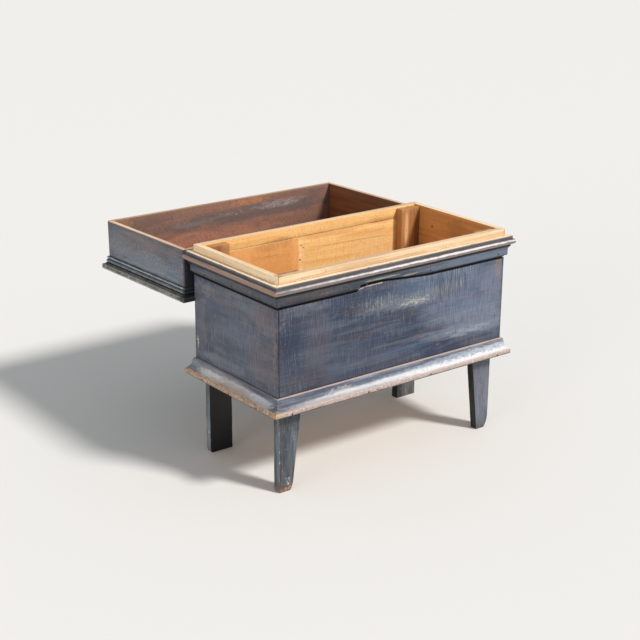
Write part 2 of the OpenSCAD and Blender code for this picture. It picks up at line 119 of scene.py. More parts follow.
class Brush(Enum):
    """The way that a brush went: round the walls, up and down a post, or along a board's length."""

    ROUND = "round"
    UPRIGHT = "upright"
    LENGTHWISE = "lengthwise"


class Axis(Enum):
    """The three axes, as indices of a vector."""

    X = 0
    Y = 1
    Z = 2


@dataclass(frozen=True)
class Plan:
    """The rectangle of a box's outer faces, seen from above."""

    x0: float
    x1: float
    y0: float
    y1: float

    def run(self, side: Side) -> float:
        """The length of one side."""
        return self.x1 - self.x0 if side.is_long else self.y1 - self.y0

    def on_side(self, side: Side) -> Matrix:
        """Where a piece goes that is modelled at the front, its face on y = 0 and centred on x = 0.

        Args:
            side: the side of the rectangle that the piece goes to.

        Returns:
            The matrix that carries the piece there.
        """
        mid = Vector(((self.x0 + self.x1) / 2, (self.y0 + self.y1) / 2, 0))
        at, turn = {
            Side.FRONT: ((mid.x, self.y0, 0), 0),
            Side.BACK: ((mid.x, self.y1, 0), 180),
            Side.LEFT: ((self.x0, mid.y, 0), -90),
            Side.RIGHT: ((self.x1, mid.y, 0), 90),
        }[side]
        return Matrix.Translation(at) @ Matrix.Rotation(math.radians(turn), 4, "Z")


# Work at the bench: the operators that every piece is made with


def in_metres(path: Iterable[Pair]) -> list[Pair]:
    """A path given in millimetres, in metres."""
    return [(x * MM, z * MM) for x, z in path]


def box_round(points: Iterable[Vector]) -> Box:
    """The lowest and highest corners of the box round some points."""
    columns = list(zip(*points))
    return Vector([min(column) for column in columns]), Vector([max(column) for column in columns])


def select_only(obj: Piece) -> None:
    """Makes obj the one selected and active object."""
    bpy.ops.object.select_all(action="DESELECT")
    obj.select_set(True)
    bpy.context.view_layer.objects.active = obj


@contextmanager
def editing(obj: Piece, whole: bool = False) -> Iterator[bmesh.types.BMesh]:
    """Edit mode on obj.

    Args:
        obj: the mesh object to edit.
        whole: whether all of it is selected at the start, or nothing.

    Returns:
        The mesh in edit mode, to select in by place or normal.
    """
    select_only(obj)
    bpy.ops.object.mode_set(mode="EDIT")
    bpy.ops.mesh.select_mode(type="VERT")
    bpy.ops.mesh.select_all(action="SELECT" if whole else "DESELECT")
    try:
        yield bmesh.from_edit_mesh(obj.data)
    finally:
        bpy.ops.object.mode_set(mode="OBJECT")


def added(name: str) -> Piece:
    """Names the primitive that was just added and leaves its place in its mesh."""
    obj = bpy.context.object
    obj.name = obj.data.name = name
    bpy.ops.object.transform_apply(location=True, rotation=True, scale=True)
    return obj


def block(name: str, low: Sequence[float], high: Sequence[float]) -> Piece:
    """A block of wood between two corners, with its place in its mesh."""
    low, high = Vector(low), Vector(high)
    bpy.ops.object.select_all(action="DESELECT")
    bpy.ops.mesh.primitive_cube_add(size=1, location=(low + high) / 2)
    bpy.context.object.scale = high - low
    return added(name)


def draw_out(name: str, start: Triple, moves: Iterable[Triple], along: Triple) -> Piece:
    """A solid whose section is drawn move by move from a point, filled and drawn out.

    Args:
        name: its name.
        start: the point.
        moves: the moves round the section.
        along: the move that draws the filled section out.

    Returns:
        The piece.
    """
    bpy.ops.object.select_all(action="DESELECT")
    bpy.ops.mesh.primitive_plane_add(size=MM, location=start)
    obj = added(name)
    with editing(obj, whole=True):
        bpy.ops.mesh.merge(type="CENTER")
        for move in moves:
            bpy.ops.mesh.extrude_region_move(TRANSFORM_OT_translate={"value": move})
        bpy.ops.mesh.select_all(action="SELECT")
        bpy.ops.mesh.remove_doubles(threshold=SECTION_WELD)
        bpy.ops.mesh.edge_face_add()
        bpy.ops.mesh.extrude_region_move(TRANSFORM_OT_translate={"value": along})
        bpy.ops.mesh.select_all(action="SELECT")
        bpy.ops.mesh.normals_make_consistent(inside=False)
    return obj


def saw(obj: Piece, at: Sequence[float], normal: Sequence[float]) -> None:
    """Saws off what lies beyond a plane, on the side that its normal points to."""
    with editing(obj, whole=True):
        bpy.ops.mesh.bisect(plane_co=at, plane_no=normal, use_fill=True, clear_outer=True, clear_inner=False)
        bpy.ops.mesh.select_all(action="SELECT")
        bpy.ops.mesh.normals_make_consistent(inside=False)


def mitre(obj: Piece, run: float) -> None:
    """Saws both ends of a piece at 45 degrees, to the length run on the plane y = 0."""
    for end in (-1, 1):
        saw(obj, (end * run / 2, 0, 0), (end, 1, 0))


def scribe(obj: Piece, height: float) -> None:
    """Draws a level line round a piece, so that its faces part there."""
    with editing(obj, whole=True):
        bpy.ops.mesh.bisect(plane_co=(0, 0, height), plane_no=(0, 0, 1), use_fill=False)


def step_along(obj: Piece, axis: Axis, step: float) -> None:
    """Divides the edges that run along an axis into steps, so that wear can bend them."""
    with editing(obj) as mesh:
        bpy.ops.mesh.select_mode(type="EDGE")
        longest = 0.0
        for edge in mesh.edges:
            run = edge.verts[1].co - edge.verts[0].co
            if run.length > step and abs(run[axis.value]) > ALONG * run.length:
                edge.select_set(True)
                longest = max(longest, run.length)
        bmesh.update_edit_mesh(obj.data)
        if longest:
            bpy.ops.mesh.subdivide(number_cuts=max(1, round(longest / step) - 1))


def apply_modifier(obj: Piece, kind: str, **settings: object) -> None:
    """Adds a modifier with these settings and applies it."""
    select_only(obj)
    modifier = obj.modifiers.new(kind.lower(), kind)
    for name, value in settings.items():
        setattr(modifier, name, value)
    bpy.ops.object.modifier_apply(modifier=modifier.name)


def ease_edges(obj: Piece, width: float, angle: float = EASED_ANGLE) -> None:
    """Rounds every edge that is sharper than an angle in degrees."""
    apply_modifier(
        obj, "BEVEL", width=width, segments=EASED_FACETS, limit_method="ANGLE",
        angle_limit=math.radians(angle), use_clamp_overlap=True,
    )


@dataclass(frozen=True)
class Age:
    """How the edges of a piece have aged: first eased, then worn unevenly.

    The step is the distance between the places where wear can bend a long edge, the ease is the width of the
    rounding, the wear is how deep the deepest wear goes, and the stretch is the size of one worn place.
    """

    step: float
    ease: float
    wear: float
    stretch: float
    angle: float = EASED_ANGLE

    def work(self, obj: Piece, *axes: Axis) -> None:
        """Steps the long edges along some axes, then eases and wears all the edges."""
        for axis in axes:
            step_along(obj, axis, self.step)
        ease_edges(obj, self.ease, self.angle)
        self.batter(obj)

    def batter(self, obj: Piece) -> None:
        """Pushes the vertices of the arrises in, through a clouds texture."""
        mesh = bmesh.new()
        mesh.from_mesh(obj.data)
        least = math.cos(math.radians(WORN_ANGLE))
        worn = [
            v.index
            for v in mesh.verts
            if len(v.link_faces) > 1
            and min(v.link_faces[0].normal.dot(f.normal) for f in v.link_faces[1:]) < least
        ]
        mesh.free()
        obj.vertex_groups.new(name="arris").add(worn, 1.0, "REPLACE")
        clouds = bpy.data.textures.new(f"{obj.name}_wear", "CLOUDS")
        clouds.noise_scale = self.stretch
        clouds.noise_depth = WEAR_OCTAVES
        apply_modifier(
            obj, "DISPLACE", texture=clouds, texture_coords="LOCAL", direction="NORMAL",
            mid_level=UNWORN_LEVEL, strength=-self.wear, vertex_group="arris",
        )
        obj.vertex_groups.clear()


def cut_with(obj: Piece, cutter: Piece) -> None:
    """Cuts a piece with another one, which is then thrown away."""
    apply_modifier(obj, "BOOLEAN", operation="DIFFERENCE", object=cutter, solver="MANIFOLD")
    bpy.data.objects.remove(cutter)


def wedge(name: str, corners: Sequence[Pair], front: float, back: float) -> Piece:
    """A flat piece with an outline seen from the front, to cut with.

    Args:
        name: its name.
        corners: the outline's corners as (x, z).
        front: where it starts along Y.
        back: where it ends along Y.

    Returns:
        The piece.
    """
    moves = [(b[0] - a[0], 0, b[1] - a[1]) for a, b in zip(corners, corners[1:])]
    return draw_out(name, (corners[0][0], front, corners[0][1]), moves, (0, back - front, 0))


def crack(obj: Piece, path: Iterable[Pair], width: float, front: float, back: float) -> None:
    """Opens a crack in a piece, thin at its ends.

    Args:
        obj: the piece.
        path: the crack's middle line as (x, z) in mm, seen from the front.
        width: its width at its widest.
        front: where the cut starts along Y.
        back: where it ends along Y.
    """
    first, *inner, last = in_metres(path)
    run = Vector((last[0] - first[0], last[1] - first[1])).normalized()
    aside = Vector((-run.y, run.x)) * width / 2
    upper = [(x + aside.x, z + aside.y) for x, z in inner]
    lower = [(x - aside.x, z - aside.y) for x, z in reversed(inner)]
    cut_with(obj, wedge("crack", [first, *upper, last, *lower], front, back))


def put(obj: Piece, matrix: Matrix) -> None:
    """Carries a piece by a matrix and leaves its place in its mesh."""
    select_only(obj)
    obj.matrix_world = matrix @ obj.matrix_world
    bpy.ops.object.transform_apply(location=True, rotation=True, scale=True)


def dress(obj: Piece, coats: Coats) -> None:
    """Gives the faces of a piece their materials.

    Args:
        obj: the piece.
        coats: materials with a test of a face's centre and normal; the last test that holds wins.
    """
    obj.data.materials.clear()
    for material, _ in coats:
        obj.data.materials.append(material)
    for face in obj.data.polygons:
        for index, (_, test) in enumerate(coats):
            if test is None or test(face.center, face.normal):
                face.material_index = index


def settle(obj: Piece, body: str, slot: str, node: str) -> None:
    """Cleans a finished piece, puts it on its body and in the place of its CAD node."""
    with editing(obj, whole=True):
        bpy.ops.mesh.remove_doubles(threshold=PIECE_WELD)
        bpy.ops.mesh.dissolve_degenerate(threshold=PIECE_WELD / 2)
        bpy.ops.mesh.select_all(action="SELECT")
        bpy.ops.mesh.fill_holes(sides=0)
    select_only(obj)
    bpy.ops.object.shade_smooth_by_angle(angle=math.radians(SHARP_ANGLE))
    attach(obj, body)
    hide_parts(node)
    LOG.info("%s: %d faces on %s for %s", obj.name, len(obj.data.polygons), body, node)


# Profiles: the section of a moulding, drawn as a joiner draws it


@dataclass(frozen=True)
class Line:
    """A straight stroke of a profile, to a point (distance from the wood behind, height)."""

    to: Pair


@dataclass(frozen=True)
class Arc:
    """A round stroke of a profile about a centre, turning by degrees; anticlockwise is positive."""

    centre: Pair
    turn: float
    steps: int


Stroke = Union[Line, Arc]


def stick(name: str, strokes: Sequence[Stroke], run: float) -> Piece:
    """A length of moulding: its section is drawn stroke by stroke, filled and drawn out.

    Args:
        name: the piece's name.
        strokes: lines and arcs round the section, from the end of the last one and back to it.
        run: the length behind the moulding, from mitre to mitre.

    Returns:
        The moulding, its back on y = 0 and centred on x = 0, longer than its run at both ends.
    """
    start = strokes[-1].to
    reach = run / 2 + SPARE
    here = Vector(start)
    moves = []
    for stroke in strokes:
        if isinstance(stroke, Line):
            to = Vector(stroke.to)
            moves.append((0.0, here.x - to.x, to.y - here.y))
            here = to
        else:
            arm = here - Vector(stroke.centre)
            turn = math.radians(stroke.turn)
            for i in range(stroke.steps):
                a = Matrix.Rotation(turn * (i + 1) / stroke.steps, 2) @ arm
                b = Matrix.Rotation(turn * i / stroke.steps, 2) @ arm
                moves.append((0.0, b.x - a.x, a.y - b.y))
            here = Vector(stroke.centre) + Matrix.Rotation(turn, 2) @ arm
    return draw_out(name, (-reach, -start[0], start[1]), moves, (2 * reach, 0, 0))


@dataclass(frozen=True)
class Waist:
    """Sizes of the moulding that carries the lid; heights go down from the ledge."""

    height: float = 66 * MM
    ledge: float = 17.7 * MM
    band: float = 9.3 * MM
    nose: float = 18.8 * MM
    nose_out: float = 25.8 * MM
    quirk: float = 14 * MM
    cove: float = 16 * MM
    flat: float = 18.5 * MM
    flat_out: float = 8 * MM
    bevel: float = 3 * MM
    arris: float = 1.2 * MM

    def strokes(self) -> list[Stroke]:
        """The section's strokes, from the ledge's back edge outwards and down."""
        r = self.nose / 2
        nose_z = -self.band - r
        low = self.flat - self.height
        cove_x = self.flat_out + self.cove
        meet = math.sqrt(self.cove**2 - (self.quirk - cove_x) ** 2)
        start_angle = math.degrees(math.atan2(meet, self.quirk - cove_x))
        climb = math.degrees(math.asin(min(1.0, (self.ledge - (self.nose_out - r)) / r)))
        return [
            Line((self.ledge - self.arris, 0.0)),
            Line((self.ledge, -self.arris)),
            Line((self.ledge, nose_z + r * math.cos(math.radians(climb)))),
            Arc((self.nose_out - r, nose_z), -(180 - climb), 14),
            Line((self.quirk, -self.band - self.nose)),
            Line((self.quirk, low + meet)),
            Arc((cove_x, low), 180.0 - start_angle, 7),
            Line((self.flat_out, self.bevel - self.height)),
            Line((self.flat_out - self.bevel, -self.height)),
            Line((0.0, -self.height)),
            Line((0.0, 0.0)),
        ]


@dataclass(frozen=True)
class Base:
    """Sizes of the moulding round the foot of the case; heights go up from its underside."""

    height: float = 54.5 * MM
    out: float = 26 * MM
    edge: float = 12 * MM
    round_: float = 5 * MM
    cove: float = 26.4 * MM
    cove_top: float = 42 * MM
    cove_out: float = 8.9 * MM
    top_out: float = 6.5 * MM
    top_bevel: float = 3 * MM
    arris: float = 2 * MM

    def strokes(self) -> list[Stroke]:
        """The section's strokes, from the wall outwards and down."""
        lip = self.out - self.round_ / 2
        cove_x = self.cove_out + self.cove
        drop = math.sqrt(self.cove**2 - (lip - cove_x) ** 2)
        turn = math.degrees(math.atan2(drop, cove_x - lip))
        rise = math.sqrt(self.round_**2 - (self.round_ / 2) ** 2)
        return [
            Line((self.top_out, self.height - self.top_bevel)),
            Line((self.cove_out, self.cove_top)),
            Arc((cove_x, self.cove_top), turn, 9),
            Line((lip, self.edge + rise)),
            Arc((self.out - self.round_, self.edge), -60, 4),
            Line((self.out, self.arris)),
            Line((self.out - self.arris, 0.0)),
            Line((0.0, 0.0)),
            Line((0.0, self.height)),
        ]


@dataclass(frozen=True)
class Bed:
    """Sizes of the lid's moulding under its overhang; heights go up from its lower edge."""

    height: float = 27 * MM
    bead: float = 8.4 * MM
    bead_out: float = 6 * MM
    ovolo: float = 13 * MM
    ovolo_out: float = 7.6 * MM
    flat: float = 5 * MM
    flat_out: float = 9 * MM

    def strokes(self) -> list[Stroke]:
        """The section's strokes, from the wall outwards and up."""
        r = self.bead / 2
        web = self.bead_out - self.bead / 3
        over = math.degrees(math.acos((web - (self.bead_out - r)) / r))
        big = self.ovolo / 2
        big_z = self.height - self.flat - big
        off = self.ovolo_out - big
        low = math.degrees(math.asin(min(1.0, (web - off) / big)))
        return [
            Line((self.bead_out - r, 0.0)),
            Arc((self.bead_out - r, r), 90 + over, 8),
            Line((web, big_z - big * math.cos(math.radians(low)))),
            Arc((off, big_z), 180 - low - low, 10),
            Line((web, self.height - self.flat)),
            Line((self.flat_out, self.height - self.flat)),
            Line((self.flat_out, self.height)),
            Line((0.0, self.height)),
            Line((0.0, 0.0)),
        ]


# Finishes: the recipes of the materials

# Share of a patch's radius from which it fades
SHARP_EDGE = 0.93
SOFT_EDGE = 0.15


class Recipe:
    """Builds one material's nodes, from the coordinates to the surface."""

    def __init__(self, name: str, turned_back: Optional[Matrix] = None) -> None:
        """Starts a material.

        Args:
            name: the material's name.
            turned_back: carries the coordinates of the open lid back to the shut one.
        """
        self.material = bpy.data.materials.new(name)
        self.material.use_nodes = True
        self.tree = self.material.node_tree
        self.tree.nodes.clear()
        self.coords = self.add("ShaderNodeTexCoord").outputs["Object"]
        if turned_back is not None:
            turn = self.add("ShaderNodeMapping")
            self.wire(self.coords, turn.inputs["Vector"])
            turn.inputs["Location"].default_value = turned_back.to_translation()
            turn.inputs["Rotation"].default_value = turned_back.to_euler()
            self.coords = turn.outputs[0]
        parts = self.add("ShaderNodeSeparateXYZ")
        self.wire(self.coords, parts.inputs[0])
        self.x, self.y, self.z = parts.outputs

    def add(self, kind: str) -> bpy.types.Node:
        """A new node."""
        return self.tree.nodes.new(kind)

    def wire(self, value: Union[Value, Colour], socket: Socket) -> None:
        """Links a socket to another, or sets its value."""
        if isinstance(value, bpy.types.NodeSocket):
            self.tree.links.new(value, socket)
        elif isinstance(value, (int, float)):
            socket.default_value = value
        else:
            socket.default_value = (*value, 1.0) if len(socket.default_value) == 4 else value

    def math(self, operation: str, a: Value, b: Value = 0.0) -> Socket:
        """The result of a Math node."""
        node = self.add("ShaderNodeMath")
        node.operation = operation
        self.wire(a, node.inputs[0])
        self.wire(b, node.inputs[1])
        return node.outputs[0]

    def off(self, value: Value, place: Value) -> Socket:
        """How far a value lies from a place, as a positive number."""
        return self.math("ABSOLUTE", self.math("SUBTRACT", value, place))

    def rise(self, value: Value, low: float, high: float) -> Socket:
        """0 below low and 1 above high, or the other way where low is the larger, with a smooth step."""
        node = self.add("ShaderNodeMapRange")
        node.interpolation_type = "SMOOTHSTEP"
        ends = (low, high, 0.0, 1.0) if low <= high else (high, low, 1.0, 0.0)
        self.wire(value, node.inputs["Value"])
        for name, end in zip(("From Min", "From Max", "To Min", "To Max"), ends):
            node.inputs[name].default_value = end
        return node.outputs[0]

    def times(self, *values: Value) -> Socket:
        """The product of several values."""
        return reduce(lambda a, b: self.math("MULTIPLY", a, b), values)

    def most(self, *values: Value) -> Socket:
        """The largest of several values."""
        return reduce(lambda a, b: self.math("MAXIMUM", a, b), values)

    def plus(self, value: Value, other: Value, share: float = 1.0) -> Socket:
        """A value with a share of another one added."""
        return self.math("ADD", value, other if share == 1.0 else self.times(other, share))

    def frayed(self, value: Value, noise: Socket, depth: float) -> Socket:
        """A value that a noise makes uneven, by up to half of depth each way."""
        return self.plus(value, self.math("SUBTRACT", noise, 0.5), depth)

    def noise(self, stretch: Sequence[float], detail: float, rough: float, shift: float) -> Socket:
        """Noise with its own number of features per metre along each axis.

        Args:
            stretch: features per metre along X, Y and Z, or a pair for level and upright.
            detail: octaves.
            rough: how strong the finer octaves are.
            shift: moves the pattern, so that two noises differ.

        Returns:
            The noise, about 0.5.
        """
        place = self.add("ShaderNodeMapping")
        self.wire(self.coords, place.inputs["Vector"])
        place.inputs["Scale"].default_value = (stretch[0], *stretch) if len(stretch) == 2 else stretch
        place.inputs["Location"].default_value = (shift, shift * 1.7, shift * 0.6)
        node = self.add("ShaderNodeTexNoise")
        self.wire(place.outputs[0], node.inputs["Vector"])
        node.inputs["Scale"].default_value = 1.0
        node.inputs["Detail"].default_value = detail
        node.inputs["Roughness"].default_value = rough
        return node.outputs[0]

    def mix(self, share: Value, a: Union[Colour, Socket], b: Union[Colour, Socket]) -> Socket:
        """Colour a where share is 0 and b where it is 1."""
        node = self.add("ShaderNodeMix")
        node.data_type = "RGBA"
        self.wire(share, node.inputs[0])
        self.wire(a, node.inputs[6])
        self.wire(b, node.inputs[7])
        return node.outputs[2]

    def lay(
        self, colour: Union[Colour, Socket], other: Colour, pattern: Value, ends: Pair, *shares: Value
    ) -> Socket:
        """Lays another colour over one, by some shares, where a pattern goes from one end to the other."""
        return self.mix(self.times(self.rise(pattern, *ends), *shares), colour, other)

    def spot(self, colour: Socket, spots: Iterable[Union["Patch", "Streak"]]) -> Socket:
        """Lays patches and streaks over a colour, in their order."""
        for spot in spots:
            colour = self.mix(spot.mask(self), colour, spot.colour)
        return colour

    def surface(
        self, colour: Socket, roughness: Value, heights: Sequence[tuple[Value, float]], metallic: float = 0.0,
        coat: float = 0.0, shine: float = 0.5,
    ) -> Material:
        """Ends the material in its shader.

        Args:
            colour: the base colour.
            roughness: the roughness.
            heights: height patterns, each with its depth in millimetres.
            metallic: how metallic it is.
            coat: the weight of a coat of wax.
            shine: how much light it throws back at its surface.

        Returns:
            The material.
        """
        shader = self.add("ShaderNodeBsdfPrincipled")
        normal: Optional[Socket] = None
        for height, depth in heights:
            bump = self.add("ShaderNodeBump")
            bump.invert = depth < 0
            bump.inputs["Strength"].default_value = 1.0
            bump.inputs["Distance"].default_value = abs(depth) * MM
            self.wire(height, bump.inputs["Height"])
            if normal is not None:
                self.wire(normal, bump.inputs["Normal"])
            normal = bump.outputs[0]
        self.wire(colour, shader.inputs["Base Color"])
        self.wire(roughness, shader.inputs["Roughness"])
        shader.inputs["Metallic"].default_value = metallic
        shader.inputs["Specular IOR Level"].default_value = shine
        shader.inputs["Coat Weight"].default_value = coat
        shader.inputs["Coat Roughness"].default_value = 0.22
        if normal is not None:
            self.wire(normal, shader.inputs["Normal"])
        output = self.add("ShaderNodeOutputMaterial")
        self.tree.links.new(shader.outputs[0], output.inputs["Surface"])
        return self.material


@dataclass(frozen=True)
class Patch:
    """A soft patch of another colour at a place on a finish, its sizes in mm.

    A radius of 0 leaves that axis out. The grain is the tearing's features per metre, a square patch is a box
    with sharper edges, and a thin one is broken up into flecks.
    """

    at: Triple
    radii: Triple
    colour: Colour
    strength: float = 0.7
    grain: tuple[float, ...] = (25, 60)
    tear: float = 1.4
    square: bool = False
    thin: float = 0.0

    def mask(self, kit: Recipe) -> Socket:
        """Where the patch is, from 0 to its strength."""
        total: Optional[Socket] = None
        for value, at, radius in zip((kit.x, kit.y, kit.z), self.at, self.radii):
            if radius <= 0:
                continue
            part = kit.math("DIVIDE", kit.off(value, at * MM), radius * MM)
            part = kit.math("MULTIPLY", part, part)
            total = part if total is None else kit.math("MAXIMUM" if self.square else "ADD", total, part)
        torn = kit.noise(self.grain, 5, 0.65, (self.at[0] * 7 + self.at[2] * 3) * MM)
        reach = kit.frayed(total, torn, self.tear)
        if self.thin:
            reach = kit.plus(reach, self.thin)
        return kit.times(kit.rise(reach, 1.0, SHARP_EDGE if self.square else SOFT_EDGE), self.strength)


@dataclass(frozen=True)
class Face:
    """A flat side to lay patches on: the axis that it is square to, its place and their depth, in mm."""

    axis: Axis
    place: float
    depth: float = 30

    def patch(
        self, along: float, z: float, half: float, half_z: float, *look: object, **more: object
    ) -> Patch:
        """A patch on this side.

        Args:
            along: its middle along the side.
            z: its middle's height.
            half: half its width.
            half_z: half its height.
            look: its colour, strength, grain and tear.
            more: the rest of its look.

        Returns:
            The patch.
        """
        if self.axis is Axis.X:
            return Patch((self.place, along, z), (self.depth, half, half_z), *look, **more)
        return Patch((along, self.place, z), (half, self.depth, half_z), *look, **more)


@dataclass(frozen=True)
class Streak:
    """A thin line of another colour along a path of (x, z) places in mm, on a face that lies square to Y.

    Its strength is whole up to one distance from the face and gone from another one.
    """

    path: Path
    face: float
    width: float
    colour: Colour
    strength: float = 0.9
    fray: float = 0.4
    soft_end: float = 1
    whole_to: float = 10
    gone_from: float = 14
    fray_scale: float = 4
    soft_share: float = 0.6

    def mask(self, kit: Recipe) -> Socket:
        """Where the line is, from 0 to its strength."""
        first, last = self.path[0][0], self.path[-1][0]
        low = min(z for _, z in self.path)
        span = max(max(z for _, z in self.path) - low, 1.0)
        share = kit.add("ShaderNodeMapRange")
        kit.wire(kit.x, share.inputs["Value"])
        share.inputs["From Min"].default_value = first * MM
        share.inputs["From Max"].default_value = last * MM
        course = kit.add("ShaderNodeFloatCurve")
        kit.wire(share.outputs[0], course.inputs["Value"])
        points = course.mapping.curves[0].points
        while len(points) < len(self.path):
            points.new(0.5, 0.5)
        for point, (x, z) in zip(points, self.path):
            point.location = ((x - first) / (last - first), (z - low) / span)
            point.handle_type = "VECTOR"
        course.mapping.update()
        height = kit.plus(low * MM, course.outputs[0], span * MM)
        torn = kit.noise((60, 60), 4, 0.65, self.width)
        aside = kit.frayed(kit.off(kit.z, height), torn, self.fray * self.width * MM * self.fray_scale)
        ends = kit.times(
            kit.rise(kit.x, (first - self.soft_end) * MM, first * MM),
            kit.rise(kit.x, (last + self.soft_end) * MM, last * MM),
            kit.rise(kit.off(kit.y, self.face * MM), self.gone_from * MM, self.whole_to * MM),
        )
        edge = self.width * MM
        return kit.times(kit.rise(aside, edge, self.soft_share * edge), ends, self.strength)


@dataclass(frozen=True)
class OldPaint:
    """Blue-grey paint, brushed on along the boards, finely scratched and rubbed to the wood on its edges.

    The weave is the strength of the fine upright marks, the scratch that of the long ones, and the veil that
    of the brown that shows through. The patches lie under these marks, and the dirt, wear and painted
    shadows and highlights lie over them.
    """

    deep: Colour = (0.02, 0.031, 0.068)
    middle: Colour = (0.062, 0.076, 0.115)
    pale: Colour = (0.15, 0.18, 0.24)
    brown: Colour = (0.095, 0.072, 0.072)
    wood: Colour = (0.27, 0.185, 0.135)
    bleached: Colour = (0.3, 0.31, 0.33)
    chip: Colour = (0.5, 0.47, 0.43)
    fly_speck: Colour = (0.03, 0.025, 0.025)
    gloss: float = 0.42
    coat: float = 0.0
    weave: float = 0.36
    scratch: float = 0.22
    veil: float = 0.45
    bare: float = 0.4
    chips: float = 0.6
    brush: Brush = Brush.ROUND
    shine: float = 0.3
    shift: float = 0.0
    patches: tuple[Patch, ...] = ()
    grime_and_painted_light: tuple[Union[Patch, Streak], ...] = ()

    def brushing(self, along: float, across: float) -> Triple:
        """Features per metre with one number along the brush and another across it."""
        return {
            Brush.ROUND: (along, along, across),
            Brush.UPRIGHT: (across, across, along),
            Brush.LENGTHWISE: (along, across, across),
        }[self.brush]

    def build(self, kit: Recipe, rub: Socket) -> Material:
        """The material.

        Args:
            kit: its recipe, at its start.
            rub: where wear has reached, from 0 to 1.

        Returns:
            The material.
        """
        cloud = kit.noise(self.brushing(3.4, 6.8), 5, 0.62, 1.3 + self.shift)
        washes = kit.noise(self.brushing(4.5, 24), 6, 0.62, 8.4 + self.shift)
        brushed = kit.noise(self.brushing(9, 190), 5, 0.66, 4.1)
        veils = kit.noise(self.brushing(6, 13), 5, 0.64, 6.2 + self.shift)
        upright = kit.noise((300, 24), 4, 0.66, 2.2)
        long_marks = kit.noise((150, 4.5), 3, 0.6, 5.7)
        zones = kit.noise((7, 9), 3, 0.55, 9.9)
        specks = kit.noise((240, 240), 2, 0.5, 3.3)
        worn = kit.noise((26, 52), 6, 0.72, 5.5)
        colour = kit.lay(self.deep, self.middle, cloud, (0.36, 0.62))
        colour = kit.lay(colour, self.pale, washes, (0.44, 0.72), 0.8)
        colour = kit.lay(colour, self.deep, washes, (0.46, 0.3), 0.55)
        colour = kit.lay(colour, self.brown, veils, (0.46, 0.68), self.veil)
        colour = kit.spot(colour, self.patches)
        colour = kit.lay(colour, self.pale, brushed, (0.5, 0.7), 0.32)
        colour = kit.lay(colour, self.deep, brushed, (0.48, 0.3), 0.42)
        spread = kit.plus(0.35, kit.rise(zones, 0.4, 0.62), 0.65)
        colour = kit.lay(colour, self.bleached, upright, (0.5, 0.7), spread, self.weave)
        colour = kit.lay(colour, self.deep, upright, (0.48, 0.32), self.weave)
        colour = kit.lay(colour, self.bleached, long_marks, (0.6, 0.72), self.scratch)
        bare = kit.most(kit.times(kit.rise(worn, 0.57, 0.7), self.bare), rub)
        colour = kit.mix(bare, colour, self.wood)
        colour = kit.lay(colour, self.chip, specks, (0.68, 0.73), kit.rise(zones, 0.4, 0.6), self.chips)
        colour = kit.lay(colour, self.fly_speck, specks, (0.31, 0.26), 0.7)
        colour = kit.spot(colour, self.grime_and_painted_light)
        marks = kit.plus(upright, brushed, 0.6)
        blotch = kit.noise((18, 18), 3, 0.5, 7.7)
        rough = kit.plus(kit.plus(self.gloss - 0.1, blotch, 0.2), bare, 0.15)
        return kit.surface(colour, rough, ((marks, 0.22), (bare, -0.2)), coat=self.coat, shine=self.shine)


@dataclass(frozen=True)
class Coat:
    """An old paint with its name and the box in mm of the faces that it is on, whose edges are rubbed."""

    name: str
    paint: OldPaint
    low: Triple
    high: Triple
    reach: float = 6
    strength: float = 0.85
    on_lid: bool = False
    unevenness: float = 2.4
    rubbed_share: float = 0.1

    def rub(self, kit: Recipe) -> Socket:
        """Wear along the edges of the box: where two of its faces are near at once."""
        near = []
        fray = kit.noise((22, 22), 5, 0.7, 4.4)
        for value, low, high in zip((kit.x, kit.y, kit.z), self.low, self.high):
            middle, half = (low + high) / 2 * MM, (high - low) / 2 * MM
            depth = kit.math("SUBTRACT", half, kit.off(value, middle))
            uneven = kit.frayed(depth, fray, self.unevenness * self.reach * MM)
            near.append(kit.rise(uneven, self.reach * MM, self.rubbed_share * self.reach * MM))
        pairs = [kit.times(near[a], near[b]) for a, b in ((0, 1), (1, 2), (0, 2))]
        return kit.times(kit.most(*pairs), self.strength)

    def build(self, turned_back: Optional[Matrix] = None) -> Material:
        """The material.

        Args:
            turned_back: carries the coordinates of the open lid back to the shut one.

        Returns:
            The material.
        """
        kit = Recipe(self.name, turned_back if self.on_lid else None)
        return self.paint.build(kit, self.rub(kit))


